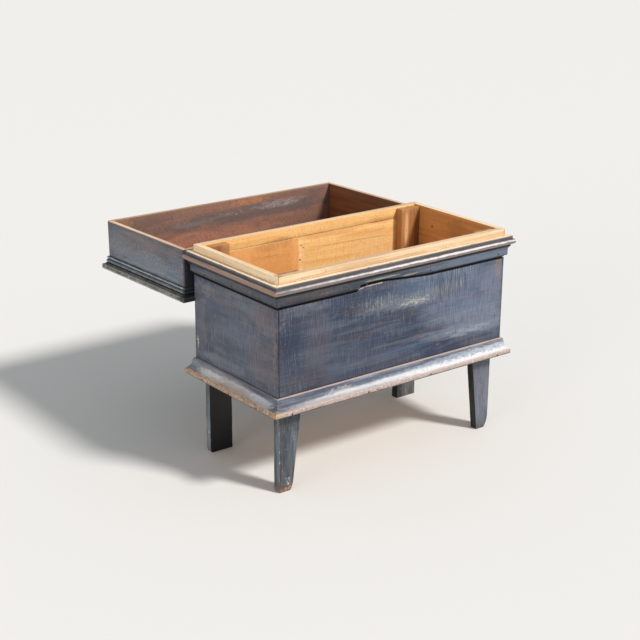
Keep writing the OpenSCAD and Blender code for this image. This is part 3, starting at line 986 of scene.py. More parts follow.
@dataclass(frozen=True)
class BareWood:
    """Unpainted old pine, with its grain along one axis."""

    light: Colour
    dark: Colour
    along: Axis = Axis.X
    tint: Colour = (0.25, 0.14, 0.07)
    gloss: float = 0.55
    shift: float = 0.0
    patches: tuple[Union[Patch, Streak], ...] = ()
    figure: float = 1.0
    stained: float = 0.4
    saw_marks: float = 0.0
    mottle: float = 0.0
    pit: Colour = (0.06, 0.035, 0.02)

    def stretch(self, along: float, across: float) -> Triple:
        """Features per metre with one number along the grain and another across it."""
        return tuple(along if i == self.along.value else across for i in range(3))

    def build(self, name: str, turned_back: Optional[Matrix] = None) -> Material:
        """The material.

        Args:
            name: its name.
            turned_back: carries the coordinates of the open lid back to the shut one.

        Returns:
            The material.
        """
        kit = Recipe(name, turned_back)
        grain = kit.noise(self.stretch(2.2, 70), 5, 0.62, self.shift)
        fibres = kit.noise(self.stretch(9, 420), 3, 0.6, self.shift + 3)
        cloud = kit.noise(self.stretch(3, 8), 4, 0.6, self.shift + 6)
        stains = kit.noise((16, 16), 5, 0.68, self.shift + 9)
        pits = kit.noise(self.stretch(60, 190), 2, 0.5, self.shift + 12)
        colour = kit.lay(self.light, self.dark, grain, (0.38, 0.66), self.figure)
        colour = kit.lay(colour, self.dark, fibres, (0.5, 0.7), 0.35 * self.figure)
        colour = kit.lay(colour, self.dark, cloud, (0.5, 0.72), 0.45)
        colour = kit.lay(colour, self.tint, stains, (0.58, 0.76), self.stained)
        colour = kit.spot(colour, self.patches)
        if self.saw_marks:
            teeth = kit.noise((420, 26), 3, 0.65, self.shift + 15)
            colour = kit.lay(colour, self.dark, teeth, (0.48, 0.66), self.saw_marks)
        if self.mottle:
            fleck = kit.noise((130, 190), 5, 0.72, self.shift + 18)
            colour = kit.lay(colour, self.tint, fleck, (0.46, 0.64), 0.7 * self.mottle)
            colour = kit.lay(colour, self.light, fleck, (0.44, 0.3), 0.5 * self.mottle)
        colour = kit.lay(colour, self.pit, pits, (0.3, 0.22), 0.75)
        rough = kit.plus(self.gloss - 0.05, stains, 0.2)
        return kit.surface(colour, rough, ((grain, 0.35), (fibres, 0.12)))


@dataclass(frozen=True)
class OldIron:
    """Forged iron, dark with some rust."""

    metal: Colour = (0.055, 0.05, 0.048)
    rust: Colour = (0.16, 0.065, 0.03)
    rusted: float = 0.5
    gloss: float = 0.5
    pit: Colour = (0.02, 0.016, 0.014)

    def build(self, name: str) -> Material:
        """The material."""
        kit = Recipe(name)
        bloom = kit.noise((220, 220), 5, 0.7, 2)
        pitting = kit.noise((700, 700), 2, 0.5, 5)
        low = 0.75 - 0.35 * self.rusted
        share = kit.rise(bloom, low - 0.12, low + 0.08)
        colour = kit.mix(share, self.metal, self.rust)
        colour = kit.lay(colour, self.pit, pitting, (0.42, 0.3), 0.6)
        rough = kit.plus(self.gloss, share, 0.3)
        return kit.surface(colour, rough, ((pitting, 0.12), (bloom, 0.1)), metallic=0.65)


# Finishes of this chest

# The sides that patches are laid on, their places in mm
FRONT = Face(Axis.Y, -462)
BACK_INSIDE = Face(Axis.Y, -46)
LID_INSIDE = Face(Axis.Y, -465, 40)
LEFT_END = Face(Axis.X, -450)
LID_LEFT = Face(Axis.X, -467, 20)
# Colours that come back in several patches
TAN: Colour = (0.3, 0.19, 0.125)
NAVY: Colour = (0.022, 0.03, 0.062)
CHALK: Colour = (0.52, 0.5, 0.5)
MAUVE: Colour = (0.15, 0.115, 0.118)
BROWN: Colour = (0.105, 0.06, 0.038)
RAW: Colour = (0.66, 0.5, 0.34)
ORANGE: Colour = (0.5, 0.24, 0.09)
# Near-black for nail holes, open joints and seams, and also for painted shade in creases and under edges
GAP_DARK_AND_PAINTED_SHADE: Colour = (0.012, 0.011, 0.012)
# Black for painted shadow lines under edges and in the quirks of the mouldings
PAINTED_SHADOW_BLACK: Colour = (0.003, 0.003, 0.003)

# The shadow under the waist's lower edge, which rises where the edge has split off, in mm
SHADOW_LINE = (
    (-460, 591.8), (-156, 591.8), (-152, 603.4), (-112, 606), (-65, 606.6), (-18, 602.6), (37, 598),
    (83, 594.8), (130, 592), (460, 591.8),
)
CASE_PATCHES = (
    FRONT.patch(270, 530, 240, 120, (0.122, 0.15, 0.226), 0.75, (8, 20)),
    FRONT.patch(-170, 430, 130, 200, NAVY, 0.45, (8, 20)),
    FRONT.patch(-360, 430, 120, 180, (0.03, 0.04, 0.07), 0.5, (8, 24)),
    FRONT.patch(350, 400, 190, 60, (0.175, 0.206, 0.29), 0.65, (8, 40)),
    FRONT.patch(410, 470, 70, 150, (0.172, 0.192, 0.25), 0.6, (14, 40), 2.2),
    FRONT.patch(40, 368, 120, 20, (0.045, 0.085, 0.165), 0.6, (8, 60), 2.2),
    FRONT.patch(-150, 446, 90, 14, (0.098, 0.072, 0.062), 0.5, (12, 60), 2.4),
    FRONT.patch(-280, 440, 110, 12, (0.17, 0.18, 0.205), 0.5, (10, 80), 2.4),
    FRONT.patch(-40, 452, 90, 10, (0.185, 0.195, 0.225), 0.45, (10, 80), 2.4),
    FRONT.patch(-170, 361, 80, 5, TAN, 0.45, (14, 110), 2.4),
    FRONT.patch(0, 528, 210, 34, (0.23, 0.26, 0.27), 0.58, (50, 110), 3),
    LEFT_END.patch(-240, 545, 230, 46, (0.15, 0.142, 0.145), 0.5, (16, 40), 2.2),
    LEFT_END.patch(-240, 420, 240, 110, (0.1, 0.108, 0.13), 0.4, (12, 40), 2.2),
    FRONT.patch(-130, 530, 100, 12, BROWN, 0.5, (60, 110), 3.4),
    FRONT.patch(90, 562, 130, 34, (0.17, 0.22, 0.31), 0.5, (130, 30), 4),
    FRONT.patch(190, 530, 80, 40, (0.13, 0.125, 0.13), 0.55, (130, 30), 4),
    FRONT.patch(60, 560, 240, 26, (0.04, 0.075, 0.14), 0.45, (9, 70), 2.4),
    FRONT.patch(-300, 450, 60, 150, MAUVE, 0.4, (10, 30)),
    FRONT.patch(-150, 360, 240, 26, (0.16, 0.2, 0.27), 0.4, (8, 70), 2.2),
    FRONT.patch(250, 380, 200, 22, (0.24, 0.28, 0.33), 0.4, (16, 200), 3.4),
    FRONT.patch(-260, 500, 150, 15, (0.16, 0.185, 0.225), 0.55, (14, 150), 3.2),
    FRONT.patch(-410, 500, 50, 90, (0.014, 0.02, 0.045), 0.7, (14, 24), 2),
    FRONT.patch(-340, 572, 110, 22, (0.15, 0.16, 0.175), 0.5, (60, 60), 3.2),
    FRONT.patch(-330, 352, 120, 30, (0.085, 0.068, 0.066), 0.6, (14, 60), 2.4),
    FRONT.patch(-20, 478, 150, 22, (0.034, 0.04, 0.064), 0.6, (12, 60), 2.6),
    FRONT.patch(20, 430, 170, 16, (0.055, 0.1, 0.15), 0.5, (12, 120), 3),
    FRONT.patch(320, 460, 120, 16, (0.125, 0.17, 0.235), 0.5, (12, 120), 3),
    FRONT.patch(120, 410, 180, 10, (0.075, 0.07, 0.08), 0.4, (12, 120), 3),
    FRONT.patch(60, 395, 200, 9, (0.185, 0.2, 0.23), 0.5, (12, 160), 3.4),
    FRONT.patch(-120, 470, 150, 8, (0.165, 0.18, 0.215), 0.45, (12, 160), 3.4),
    FRONT.patch(-300, 410, 90, 30, (0.135, 0.14, 0.16), 0.45, (12, 90), 3),
    LEFT_END.patch(-400, 540, 70, 60, MAUVE, 0.55, (14, 30)),
    LEFT_END.patch(-75, 560, 70, 30, CHALK, 0.16, (60, 60), 4, thin=0.2),
    LEFT_END.patch(-120, 500, 90, 40, (0.045, 0.068, 0.12), 0.55, (12, 30)),
    LEFT_END.patch(-270, 470, 120, 60, (0.13, 0.15, 0.2), 0.45, (12, 40)),
    LEFT_END.patch(-380, 400, 90, 120, MAUVE, 0.4, (12, 30)),
    LEFT_END.patch(-190, 345, 160, 24, (0.25, 0.26, 0.29), 0.35, (10, 60), 2.2),
    LEFT_END.patch(-60, 430, 40, 150, (0.17, 0.155, 0.155), 0.4, (12, 30)),
)
CASE_GRIME_AND_SHADOWS = (
    # Darker over the left and middle of the front
    FRONT.patch(-190, 440, 340, 230, NAVY, 0.44, (5, 9), 1.2),
    FRONT.patch(225, 560, 150, 80, (0.34, 0.38, 0.43), 0.48, (330, 18), 6, thin=0.7),
    FRONT.patch(300, 372, 150, 16, (0.34, 0.4, 0.44), 0.42, (30, 200), 5, thin=0.4),
    FRONT.patch(-60, 545, 120, 30, (0.28, 0.31, 0.34), 0.4, (200, 24), 6, thin=0.7),
    FRONT.patch(215, 558, 150, 84, (0.025, 0.034, 0.06), 0.6, (290, 15), 6, thin=0.6),
    FRONT.patch(70, 516, 84, 19, (0.52, 0.51, 0.46), 0.5, (60, 260), 7, thin=0.55),
    FRONT.patch(70, 514, 90, 20, (0.45, 0.45, 0.43), 0.4, (260, 60), 7, thin=0.9),
    FRONT.patch(-70, 524, 90, 18, (0.34, 0.36, 0.36), 0.4, (150, 200), 7, thin=0.8),
    FRONT.patch(424, 566, 20, 44, TAN, 0.45, (170, 60), 5, thin=0.2),
    Streak(((-151, 595.5), (-125, 598.6), (-100, 599.6), (-60, 600)), -462, 1.5, RAW, 0.7, 0.6),
    Patch((-450, -449, 460), (8, 13, 150), (0.22, 0.148, 0.112), 0.65, (110, 60), 5, thin=0.3),
    LEFT_END.patch(-38, 375, 14, 34, (0.6, 0.58, 0.54), 0.8, (120, 120), 6, thin=0.7),
    # Painted shadow under the waist's lower edge: a black line on the ends and back, and on the front one
    # that follows SHADOW_LINE up where the edge has split off
    Patch((0, -240, 591.8), (0, 216, 4.4), PAINTED_SHADOW_BLACK, 0.98, (25, 60), 0.1, square=True),
    Streak(SHADOW_LINE, -462, 5, PAINTED_SHADOW_BLACK, 0.98, 0.1),
    Patch((-444.6, -462, 455), (1.7, 6, 140), GAP_DARK_AND_PAINTED_SHADE, 0.85, (20, 20), 0.5, square=True),
    # Painted shade: a dark line round the case just above the base moulding
    Patch((0, 0, 319.3), (0, 0, 1.6), GAP_DARK_AND_PAINTED_SHADE, 0.5, (25, 60), 0.8),
)
CASE_COAT = Coat(
    "case_paint",
    OldPaint(
        weave=0.5, scratch=0.06, chips=0.35, bleached=(0.225, 0.255, 0.3), patches=CASE_PATCHES,
        grime_and_painted_light=CASE_GRIME_AND_SHADOWS,
    ),
    (-450, -462.1, 200), (450, -26.1, 760), reach=4, strength=0.32,
)
POST_PATCHES = (
    Patch((389, -428, 130), (60, 40, 150), (0.17, 0.178, 0.226), 0.66, (20, 8)),
    Patch((389, -60, 130), (60, 40, 150), (0.2, 0.21, 0.2), 0.6, (20, 8)),
    Patch((-400, -428, 4), (60, 40, 13), ORANGE, 0.7, (40, 30), 1),
    Patch((-398, -428, 14), (60, 40, 20), BROWN, 0.6, (40, 30), 1),
    Patch((405, -428, 4), (60, 40, 14), BROWN, 0.6, (40, 30), 1),
    Patch((0, -60, 4), (0, 40, 14), BROWN, 0.6, (40, 30), 1),
    Patch((-430, -60, 60), (12, 30, 70), CHALK, 0.35, (40, 30), 2.6),
)
POST_GRIME_AND_SHADE = (
    # Painted shadow: the front face of the rear-left leg is near-black, where the case shades it
    Patch((-389, -76, 130), (47, 7, 0), (0.006, 0.006, 0.006), 0.97, (20, 8), 0.2, square=True),
    Patch((-430, -60, 110), (6, 9, 130), (0.2, 0.24, 0.27), 0.6, (90, 30), 4),
    Patch((-430, -64, 60), (6, 10, 70), (0.55, 0.54, 0.48), 0.7, (140, 90), 6, thin=0.9),
    Patch((-430, -434, 130), (6, 10, 150), (0.17, 0.22, 0.26), 0.55, (90, 20), 4),
    Patch((-430, -441, 130), (7, 6, 150), (0.46, 0.47, 0.45), 0.6, (130, 70), 6, thin=1),
    # Painted shade at the top of the front-left leg, under the base moulding
    Patch((-389, -442, 268), (60, 40, 22), GAP_DARK_AND_PAINTED_SHADE, 0.55, (20, 20), 0.6),
    Patch((-396, -442, 26), (18, 8, 30), (0.62, 0.6, 0.55), 0.8, (160, 120), 6, thin=0.8),
    Patch((-424, -442, 60), (3, 8, 70), BROWN, 0.7, (40, 20), 1.6),
)
POST_COAT = Coat(
    "post_paint",
    OldPaint(
        deep=(0.02, 0.028, 0.04), middle=(0.055, 0.074, 0.094), pale=(0.14, 0.17, 0.195),
        brown=(0.11, 0.074, 0.056), veil=0.6, weave=0.4, scratch=0.3, bare=0.5, brush=Brush.UPRIGHT,
        shift=5, patches=POST_PATCHES, grime_and_painted_light=POST_GRIME_AND_SHADE,
    ),
    (-430, -442.1, -40), (430, -46.1, 760), reach=4, strength=0.16,
)
# Painted shade: near-black paint on the inner faces of the legs, under the case
POST_SHADE_COAT = Coat(
    "post_inner_painted_shade",
    OldPaint(
        deep=(0.005, 0.005, 0.005), middle=(0.012, 0.011, 0.011), pale=(0.026, 0.023, 0.022),
        brown=(0.022, 0.014, 0.01), bleached=(0.05, 0.045, 0.04), wood=(0.06, 0.04, 0.03),
        brush=Brush.UPRIGHT, shift=6, chips=0.2,
    ),
    (-430, -442.1, -40), (430, -46.1, 760), reach=3, strength=0.4,
)
WAIST_PATCHES = (
    Patch((0, -487, 645), (0, 9, 12), (0.235, 0.212, 0.222), 0.7, (14, 60)),
    Patch((0, -483, 653), (0, 8, 3), (0.15, 0.11, 0.085), 0.6, (25, 60)),
    Patch((0, -487, 640.5), (0, 8, 2.6), (0.33, 0.215, 0.16), 0.8, (25, 60)),
    Patch((-474, -260, 645), (10, 0, 12), (0.26, 0.16, 0.112), 0.8, (18, 50)),
    Patch((0, -480, 658), (0, 3, 5), (0.075, 0.08, 0.092), 0.75, (25, 60), 0.8),
    Patch((-468, -260, 658), (3, 0, 5), (0.06, 0.075, 0.098), 0.75, (25, 60), 0.8),
    Patch((-330, -471, 612), (110, 8, 16), (0.075, 0.05, 0.042), 0.65, (18, 60), 2.4),
    Patch((-60, -471, 620), (160, 8, 10), (0.04, 0.06, 0.085), 0.6, (30, 90), 2.4),
    Patch((0, 0, 603), (0, 0, 6), (0.018, 0.02, 0.026), 0.65, (30, 90), 2.4),
    Patch((330, -471, 612), (130, 8, 14), (0.07, 0.054, 0.05), 0.35, (18, 60), 2.4),
    Patch((320, -471, 609), (300, 6, 16), (0.135, 0.178, 0.25), 0.7, (12, 40), 1.8),
    Patch((300, -474, 624), (320, 6, 8), (0.16, 0.2, 0.26), 0.6, (12, 40), 1.8),
)
WAIST_GRIME_HIGHLIGHTS_AND_SHADOWS = (
    # Painted highlight along the top of the torus: bright on the front, weaker towards its left end
    Patch((160, -487, 649.5), (620, 6, 4), (0.74, 0.68, 0.68), 0.88, (40, 130), 2.2),
    Patch((-330, -487, 649.5), (150, 6, 3.4), (0.5, 0.44, 0.44), 0.65, (40, 130), 2.2),
    Patch((-474, -240, 645), (8, 0, 8), (0.36, 0.225, 0.15), 0.7, (40, 110), 2),
    Patch((-474.5, -300, 651), (3, 240, 3), (0.5, 0.36, 0.28), 0.6, (40, 130), 1.8),
    Patch((0, 0, 662.4), (0, 0, 1.8), (0.36, 0.26, 0.18), 0.6, (30, 90), 1.6),
    # Painted shadow: black lines in the quirk under the torus and on the bevel of the fascia's lower edge
    Patch((0, 0, 631), (0, 0, 4.4), PAINTED_SHADOW_BLACK, 0.95, (25, 60), 0.2, square=True),
    Patch((0, 0, 599), (0, 0, 2.2), PAINTED_SHADOW_BLACK, 0.95, (25, 60), 0.2, square=True),
    Patch((-60, -471, 617.5), (90, 8, 3.4), (0.36, 0.36, 0.29), 0.6, (40, 90), 2.2),
    Patch((40, -471, 609), (50, 8, 3.4), (0.34, 0.34, 0.28), 0.5, (40, 90), 2.2),
)
WAIST_COAT = Coat(
    "waist_paint",
    OldPaint(
        gloss=0.38, coat=0.12, weave=0.12, scratch=0, shift=2, deep=(0.018, 0.025, 0.042),
        middle=(0.046, 0.055, 0.08), pale=(0.118, 0.137, 0.18), patches=WAIST_PATCHES, grime_and_painted_light=WAIST_GRIME_HIGHLIGHTS_AND_SHADOWS,
    ),
    (-475.8, -487.9, 560), (475.8, 0, 664), reach=2.5, strength=0.7,
)
BASE_PATCHES = (
    # Painted highlight across the front of the cove
    Patch((200, -480, 291), (420, 30, 15), (0.46, 0.5, 0.58), 0.6, (70, 110), 3.2),
    Patch((-350, -476, 296), (100, 30, 14), NAVY, 0.3, (14, 50)),
    Patch((0, -471, 306), (0, 8, 5), (0.045, 0.058, 0.095), 0.45, (10, 60)),
    Patch((-220, -477, 296), (60, 30, 13), (0.52, 0.47, 0.46), 0.7, (90, 110), 3.6),
    Patch((-466, -250, 292), (30, 240, 18), (0.52, 0.45, 0.4), 0.82, (60, 140), 1.8),
    Patch((-466, -390, 292), (30, 80, 16), (0.6, 0.62, 0.65), 0.62, (70, 140), 2.2),
    Patch((-466, -130, 292), (30, 80, 15), (0.68, 0.68, 0.66), 0.62, (70, 140), 2.2),
)
BASE_GRIME_HIGHLIGHTS_AND_SHADOWS = (
    # Painted highlight: pale to near-white bands on the front of the cove, strongest towards its right
    Patch((60, -480, 284), (470, 30, 17), (0.47, 0.49, 0.54), 0.55, (60, 200), 1.2),
    Patch((330, -480, 291), (400, 30, 22), (0.54, 0.58, 0.64), 0.75, (50, 260), 2),
    Patch((310, -484, 283), (400, 30, 10), (0.8, 0.77, 0.75), 0.66, (70, 280), 3),
    Patch((250, -480, 294), (420, 30, 9), (0.1, 0.135, 0.2), 0.5, (60, 200), 5, thin=0.5),
    Patch((60, -480, 300), (420, 30, 8), (0.08, 0.11, 0.17), 0.4, (20, 160), 3),
    # Painted highlight further left on the cove
    Patch((-60, -482, 289), (300, 30, 6), (0.7, 0.67, 0.65), 0.6, (24, 260), 2.4),
    Patch((-290, -480, 282), (200, 30, 12), (0.5, 0.46, 0.45), 0.5, (60, 200), 1.6),
    Patch((-130, -478, 300), (90, 30, 12), (0.05, 0.068, 0.12), 0.4, (40, 90), 2.4),
    Patch((0, -469, 316.9), (0, 10, 2.1), (0.5, 0.39, 0.33), 0.88, (25, 60)),
    Patch((-457, -260, 316.9), (10, 0, 2.1), (0.34, 0.27, 0.225), 0.85, (25, 60)),
    Patch((0, -488, 274.5), (0, 8, 9.5), (0.43, 0.325, 0.275), 0.88, (40, 90), 1.2),
    Patch((-476, -260, 275), (10, 0, 12.5), (0.4, 0.245, 0.15), 0.9, (40, 90), 1.4),
    Patch((-476, -260, 277), (12, 0, 12), (0.66, 0.47, 0.29), 0.7, (90, 160), 6, thin=0.7),
    Patch((0, -488, 276), (0, 8, 12), (0.66, 0.55, 0.48), 0.6, (120, 160), 6, thin=0.9),
    Patch((-464, -476, 275), (22, 22, 14), (0.46, 0.28, 0.14), 0.65, (40, 60)),
    Patch((-476, -260, 274), (12, 0, 14), (0.07, 0.04, 0.025), 0.75, (120, 160), 6, thin=1.1),
    Patch((0, -488, 272), (0, 8, 12), (0.07, 0.04, 0.025), 0.75, (130, 160), 6, thin=1.2),
    # Painted shadow: a dark line along the bottom edge of the base moulding
    Patch((0, -488, 264.4), (0, 12, 2.6), GAP_DARK_AND_PAINTED_SHADE, 0.9, (20, 60), 0.4, square=True),
    Patch((-476, 0, 264.4), (12, 0, 2.6), GAP_DARK_AND_PAINTED_SHADE, 0.9, (20, 60), 0.4, square=True),
)
BASE_COAT = Coat(
    "base_paint",
    OldPaint(
        gloss=0.4, coat=0.28, weave=0.14, scratch=0, shift=3, deep=(0.05, 0.064, 0.105),
        middle=(0.135, 0.15, 0.195), pale=(0.31, 0.325, 0.375), patches=BASE_PATCHES, grime_and_painted_light=BASE_GRIME_HIGHLIGHTS_AND_SHADOWS,
    ),
    (-476, -488.1, 264), (476, 0, 400), reach=2.5, strength=0.6,
)
LID_PATCHES = (
    Patch((0, -480, 738), (0, 24, 0), (0.075, 0.094, 0.14), 0.62, (8, 20)),
    Patch((467, -240, 738), (24, 0, 0), (0.08, 0.094, 0.13), 0.55, (8, 20)),
    LID_LEFT.patch(-240, 684, 250, 10, TAN, 0.25, (14, 60)),
    LID_LEFT.patch(-240, 750, 260, 40, (0.205, 0.235, 0.275), 0.55, (20, 60), 2.4),
    LID_LEFT.patch(-300, 705, 180, 24, (0.165, 0.125, 0.125), 0.5, (24, 60), 3),
    LID_LEFT.patch(-420, 720, 70, 60, (0.125, 0.16, 0.205), 0.5, (16, 60), 2),
    LID_LEFT.patch(-60, 740, 60, 60, (0.13, 0.165, 0.225), 0.5, (16, 60), 2),
    LID_LEFT.patch(-240, 776, 260, 8, (0.22, 0.27, 0.31), 0.5, (30, 160), 3),
)
LID_GRIME_AND_SHADE = (
    LID_LEFT.patch(-240, 735, 0, 60, (0.34, 0.38, 0.42), 0.34, (120, 260), 6, thin=0.8),
    LID_LEFT.patch(-240, 725, 0, 60, (0.05, 0.06, 0.085), 0.34, (90, 160), 6, thin=0.8),
    LID_LEFT.patch(-240, 720, 0, 50, (0.22, 0.15, 0.125), 0.3, (16, 200), 5, thin=0.6),
    # Painted shade on the outer face of the lid's back wall, which stands close to the case when the lid is
    # open
    Patch((0, -8, 740), (0, 12, 0), (0.015, 0.017, 0.022), 0.8, (12, 40), 0.4),
)
LID_COAT = Coat(
    "lid_paint",
    OldPaint(
        deep=(0.06, 0.066, 0.086), middle=(0.135, 0.132, 0.15), pale=(0.235, 0.232, 0.26), weave=0.16,
        scratch=0.05, shift=7, patches=LID_PATCHES, grime_and_painted_light=LID_GRIME_AND_SHADE,
    ),
    (-467.7, -479.8, 664.3), (467.7, -8.4, 900), on_lid=True,
)
SLAB_PATCHES = (
    Patch((0, 0, 789.5), (0, 0, 3.4), (0.17, 0.2, 0.22), 0.55, (30, 90), 1.6),
    Patch((0, 0, 801), (0, 0, 4.2), (0.13, 0.15, 0.165), 0.55, (30, 90), 1.6),
    # Painted shade: dark lines in the creases of the lid's moulding and along its lower edge
    Patch((0, 0, 807), (0, 0, 2.8), GAP_DARK_AND_PAINTED_SHADE, 0.85, (30, 60), 0.6),
    Patch((0, 0, 794.2), (0, 0, 2), GAP_DARK_AND_PAINTED_SHADE, 0.85, (30, 60), 0.6),
    Patch((0, 0, 784.6), (0, 0, 1.6), GAP_DARK_AND_PAINTED_SHADE, 0.7, (30, 60), 0.6),
    Patch((0, -244, 829), (0, 1.4, 9), GAP_DARK_AND_PAINTED_SHADE, 0.9, (30, 60), 0.4),
    Patch((0, -400, 829), (0, 70, 12), (0.06, 0.07, 0.082), 0.5, (3, 26, 26), 2.4),
    Patch((-200, -120, 829), (300, 60, 12), (0.2, 0.21, 0.215), 0.4, (3, 40, 40), 2.8),
)
SLAB_GRIME_AND_SHADE = (
    Patch((-487, -240, 820), (8, 0, 11), (0.42, 0.42, 0.38), 0.7, (90, 140), 6, thin=0.9),
    Patch((-487, -240, 822), (8, 0, 12), (0.035, 0.035, 0.032), 0.75, (60, 120), 6, thin=0.8),
    Patch((-487, -240, 813.5), (12, 0, 2.4), (0.34, 0.28, 0.2), 0.7, (60, 120), 3),
    Patch((-473, -240, 789.5), (8, 0, 3.6), (0.42, 0.49, 0.51), 0.6, (50, 160), 3.4, thin=0.1),
    Patch((-475, -240, 803), (8, 0, 3.4), (0.34, 0.37, 0.37), 0.58, (50, 160), 4, thin=0.2),
    Patch((-487, -240, 826), (9, 0, 3), (0.46, 0.46, 0.38), 0.6, (60, 160), 3),
    # Painted shade on the rear edge of the top and the back length of its moulding, which face the case when
    # the lid is open
    Patch((0, 2, 800), (0, 20, 60), (0.018, 0.019, 0.022), 0.75, (12, 40), 0.4),
)
SLAB_COAT = Coat(
    "slab_paint",
    OldPaint(
        deep=(0.04, 0.055, 0.07), middle=(0.105, 0.125, 0.145), pale=(0.275, 0.285, 0.29), weave=0.1,
        scratch=0, brush=Brush.LENGTHWISE, shift=9, gloss=0.46, patches=SLAB_PATCHES, grime_and_painted_light=SLAB_GRIME_AND_SHADE,
    ),
    (-486.7, -498.8, 812.3), (486.7, 10.6, 829.3), reach=3.5, strength=0.9, on_lid=True,
)
LIP_LONG_MARKS = (
    Patch((-382, -452, 686), (3, 3, 3), BROWN, 0.9, tear=0.4),
    Patch((-362, -462, 669), (2.5, 4, 2.5), BROWN, 0.9, tear=0.4),
    Patch((-276, -462, 675), (4, 4, 2), BROWN, 0.8, tear=0.8),
    Patch((-436, -455, 686), (14, 10, 8), (0.3, 0.17, 0.08), 0.6, (60, 60), 2.6),
    Patch((389, -452, 686), (2.5, 2.5, 3), BROWN, 0.9, tear=0.4),
    Patch((-100, -452, 686), (90, 12, 4), (0.56, 0.38, 0.25), 0.5, (14, 40, 40), 2.6),
    Patch((0, -462, 669), (450, 4, 6), (0.46, 0.29, 0.185), 0.6, (12, 40, 230), 5, thin=0.3),
    Patch((-160, -462, 678), (200, 4, 5), (0.5, 0.32, 0.21), 0.5, (16, 40, 260), 5, thin=0.4),
)
LIP_LONG = BareWood(
    (0.85, 0.64, 0.42), (0.6, 0.385, 0.205), Axis.X, (0.4, 0.25, 0.14), 0.5, 1, LIP_LONG_MARKS, 0.85, 0.45,
    mottle=0.3,
)
LIP_END_MARKS = (
    Patch((-450, -427, 671), (4, 2.5, 2.5), BROWN, 0.9, tear=0.4),
    Patch((-450, -442, 670), (4, 2.5, 2.5), BROWN, 0.9, tear=0.4),
    Patch((-440, -446, 686), (10, 12, 8), (0.3, 0.17, 0.08), 0.6, (60, 60), 2.6),
)
# Lighter than the long lip, as painted light that makes up for the shade on the left end's outer face
LIP_END = BareWood(
    (0.97, 0.76, 0.5), (0.8, 0.55, 0.31), Axis.Y, (0.4, 0.23, 0.11), 0.5, 2, LIP_END_MARKS, 0.85, 0.45,
    mottle=0.3,
)
LEDGE_WOOD = BareWood(
    (0.97, 0.8, 0.58), (0.82, 0.6, 0.37), Axis.X, (0.42, 0.27, 0.16), 0.5, 13, (), 0.6, 0.35,
)
INSIDE_LONG_MARKS = (
    BACK_INSIDE.patch(-257, 540, 198, 107, (0.72, 0.32, 0.095), 0.8, (10, 24), 0.1, square=True),
    BACK_INSIDE.patch(-330, 600, 60, 40, (0.62, 0.25, 0.075), 0.45, (30, 60), 3),
    BACK_INSIDE.patch(190, 622, 130, 12, (0.64, 0.28, 0.08), 0.5, (12, 70), 3),
    BACK_INSIDE.patch(300, 650, 120, 16, (0.66, 0.31, 0.1), 0.5, (12, 70), 3),
    BACK_INSIDE.patch(-160, 640, 100, 24, (0.4, 0.16, 0.05), 0.5, (14, 40), 2.4),
    BACK_INSIDE.patch(-46, 600, 12, 90, (0.9, 0.64, 0.34), 0.6, (30, 60), 1.6),
    BACK_INSIDE.patch(60, 640, 160, 14, (0.58, 0.25, 0.07), 0.5, (12, 50), 2.4),
    BACK_INSIDE.patch(240, 560, 110, 60, (0.92, 0.6, 0.27), 0.5, (10, 30), 2),
    BACK_INSIDE.patch(-52, 619, 5, 3, GAP_DARK_AND_PAINTED_SHADE, 0.9, tear=1.2),
    BACK_INSIDE.patch(-44, 611, 6, 2, BROWN, 0.8, tear=1.6),
    BACK_INSIDE.patch(-57, 571, 6, 3, GAP_DARK_AND_PAINTED_SHADE, 0.9, tear=1.2),
    BACK_INSIDE.patch(-48, 563, 5, 2, BROWN, 0.8, tear=1.6),
    BACK_INSIDE.patch(270, 648, 50, 2.6, BROWN, 0.6, (50, 60), 2),
)
INSIDE_LONG = BareWood(
    (0.98, 0.65, 0.27), (0.84, 0.45, 0.15), Axis.X, (0.46, 0.19, 0.055), 0.5, 3, INSIDE_LONG_MARKS, 0.75,
    0.5, saw_marks=0.6, mottle=0.36,
)
INSIDE_END_MARKS = (
    Patch((430, -138, 625), (30, 6, 5), (0.05, 0.02, 0.01), 0.9, tear=0.6),
    Patch((430, -260, 640), (30, 60, 40), (0.36, 0.15, 0.05), 0.55, (20, 14), 2.4),
)
INSIDE_END = BareWood(
    (0.68, 0.305, 0.09), (0.46, 0.185, 0.048), Axis.Y, (0.22, 0.09, 0.03), 0.5, 4, INSIDE_END_MARKS, 0.7,
    0.5, saw_marks=0.5,
)
POST_WOOD_MARKS_LIGHT_AND_SHADE = (
    # A darker brown over the upper front of the rear-left post
    Patch((-404, -74, 640), (66, 3, 64), (0.27, 0.105, 0.052), 0.8, (26, 26), 1),
    Patch((-360, -74, 660), (30, 3, 30), (0.52, 0.26, 0.105), 0.6, (30, 30), 1.6),
    # Painted light and shade on the rear-right post: its left face darker, the left of its front lighter and
    # the right of its front, by the wall, darker
    Patch((348, -60, 600), (1.5, 30, 120), (0.42, 0.17, 0.055), 0.85, (20, 30), 0.2, square=True),
    Patch((372, -74, 610), (10, 6, 90), (0.92, 0.56, 0.26), 0.75, (30, 10), 1.6),
    Patch((420, -74, 600), (16, 6, 110), (0.2, 0.085, 0.03), 0.75, (30, 10), 1.6),
)
POST_WOOD = BareWood(
    (0.52, 0.255, 0.088), (0.31, 0.13, 0.04), Axis.Z, (0.22, 0.1, 0.04), 0.5, 5, POST_WOOD_MARKS_LIGHT_AND_SHADE, 0.8,
)
BOARD_WOOD = BareWood((0.6, 0.36, 0.16), (0.4, 0.2, 0.075), Axis.X, (0.2, 0.09, 0.04), 0.6, 6)
UNDER_WOOD = BareWood((0.24, 0.15, 0.09), (0.14, 0.085, 0.05), Axis.X, (0.07, 0.04, 0.025), 0.7, 7)
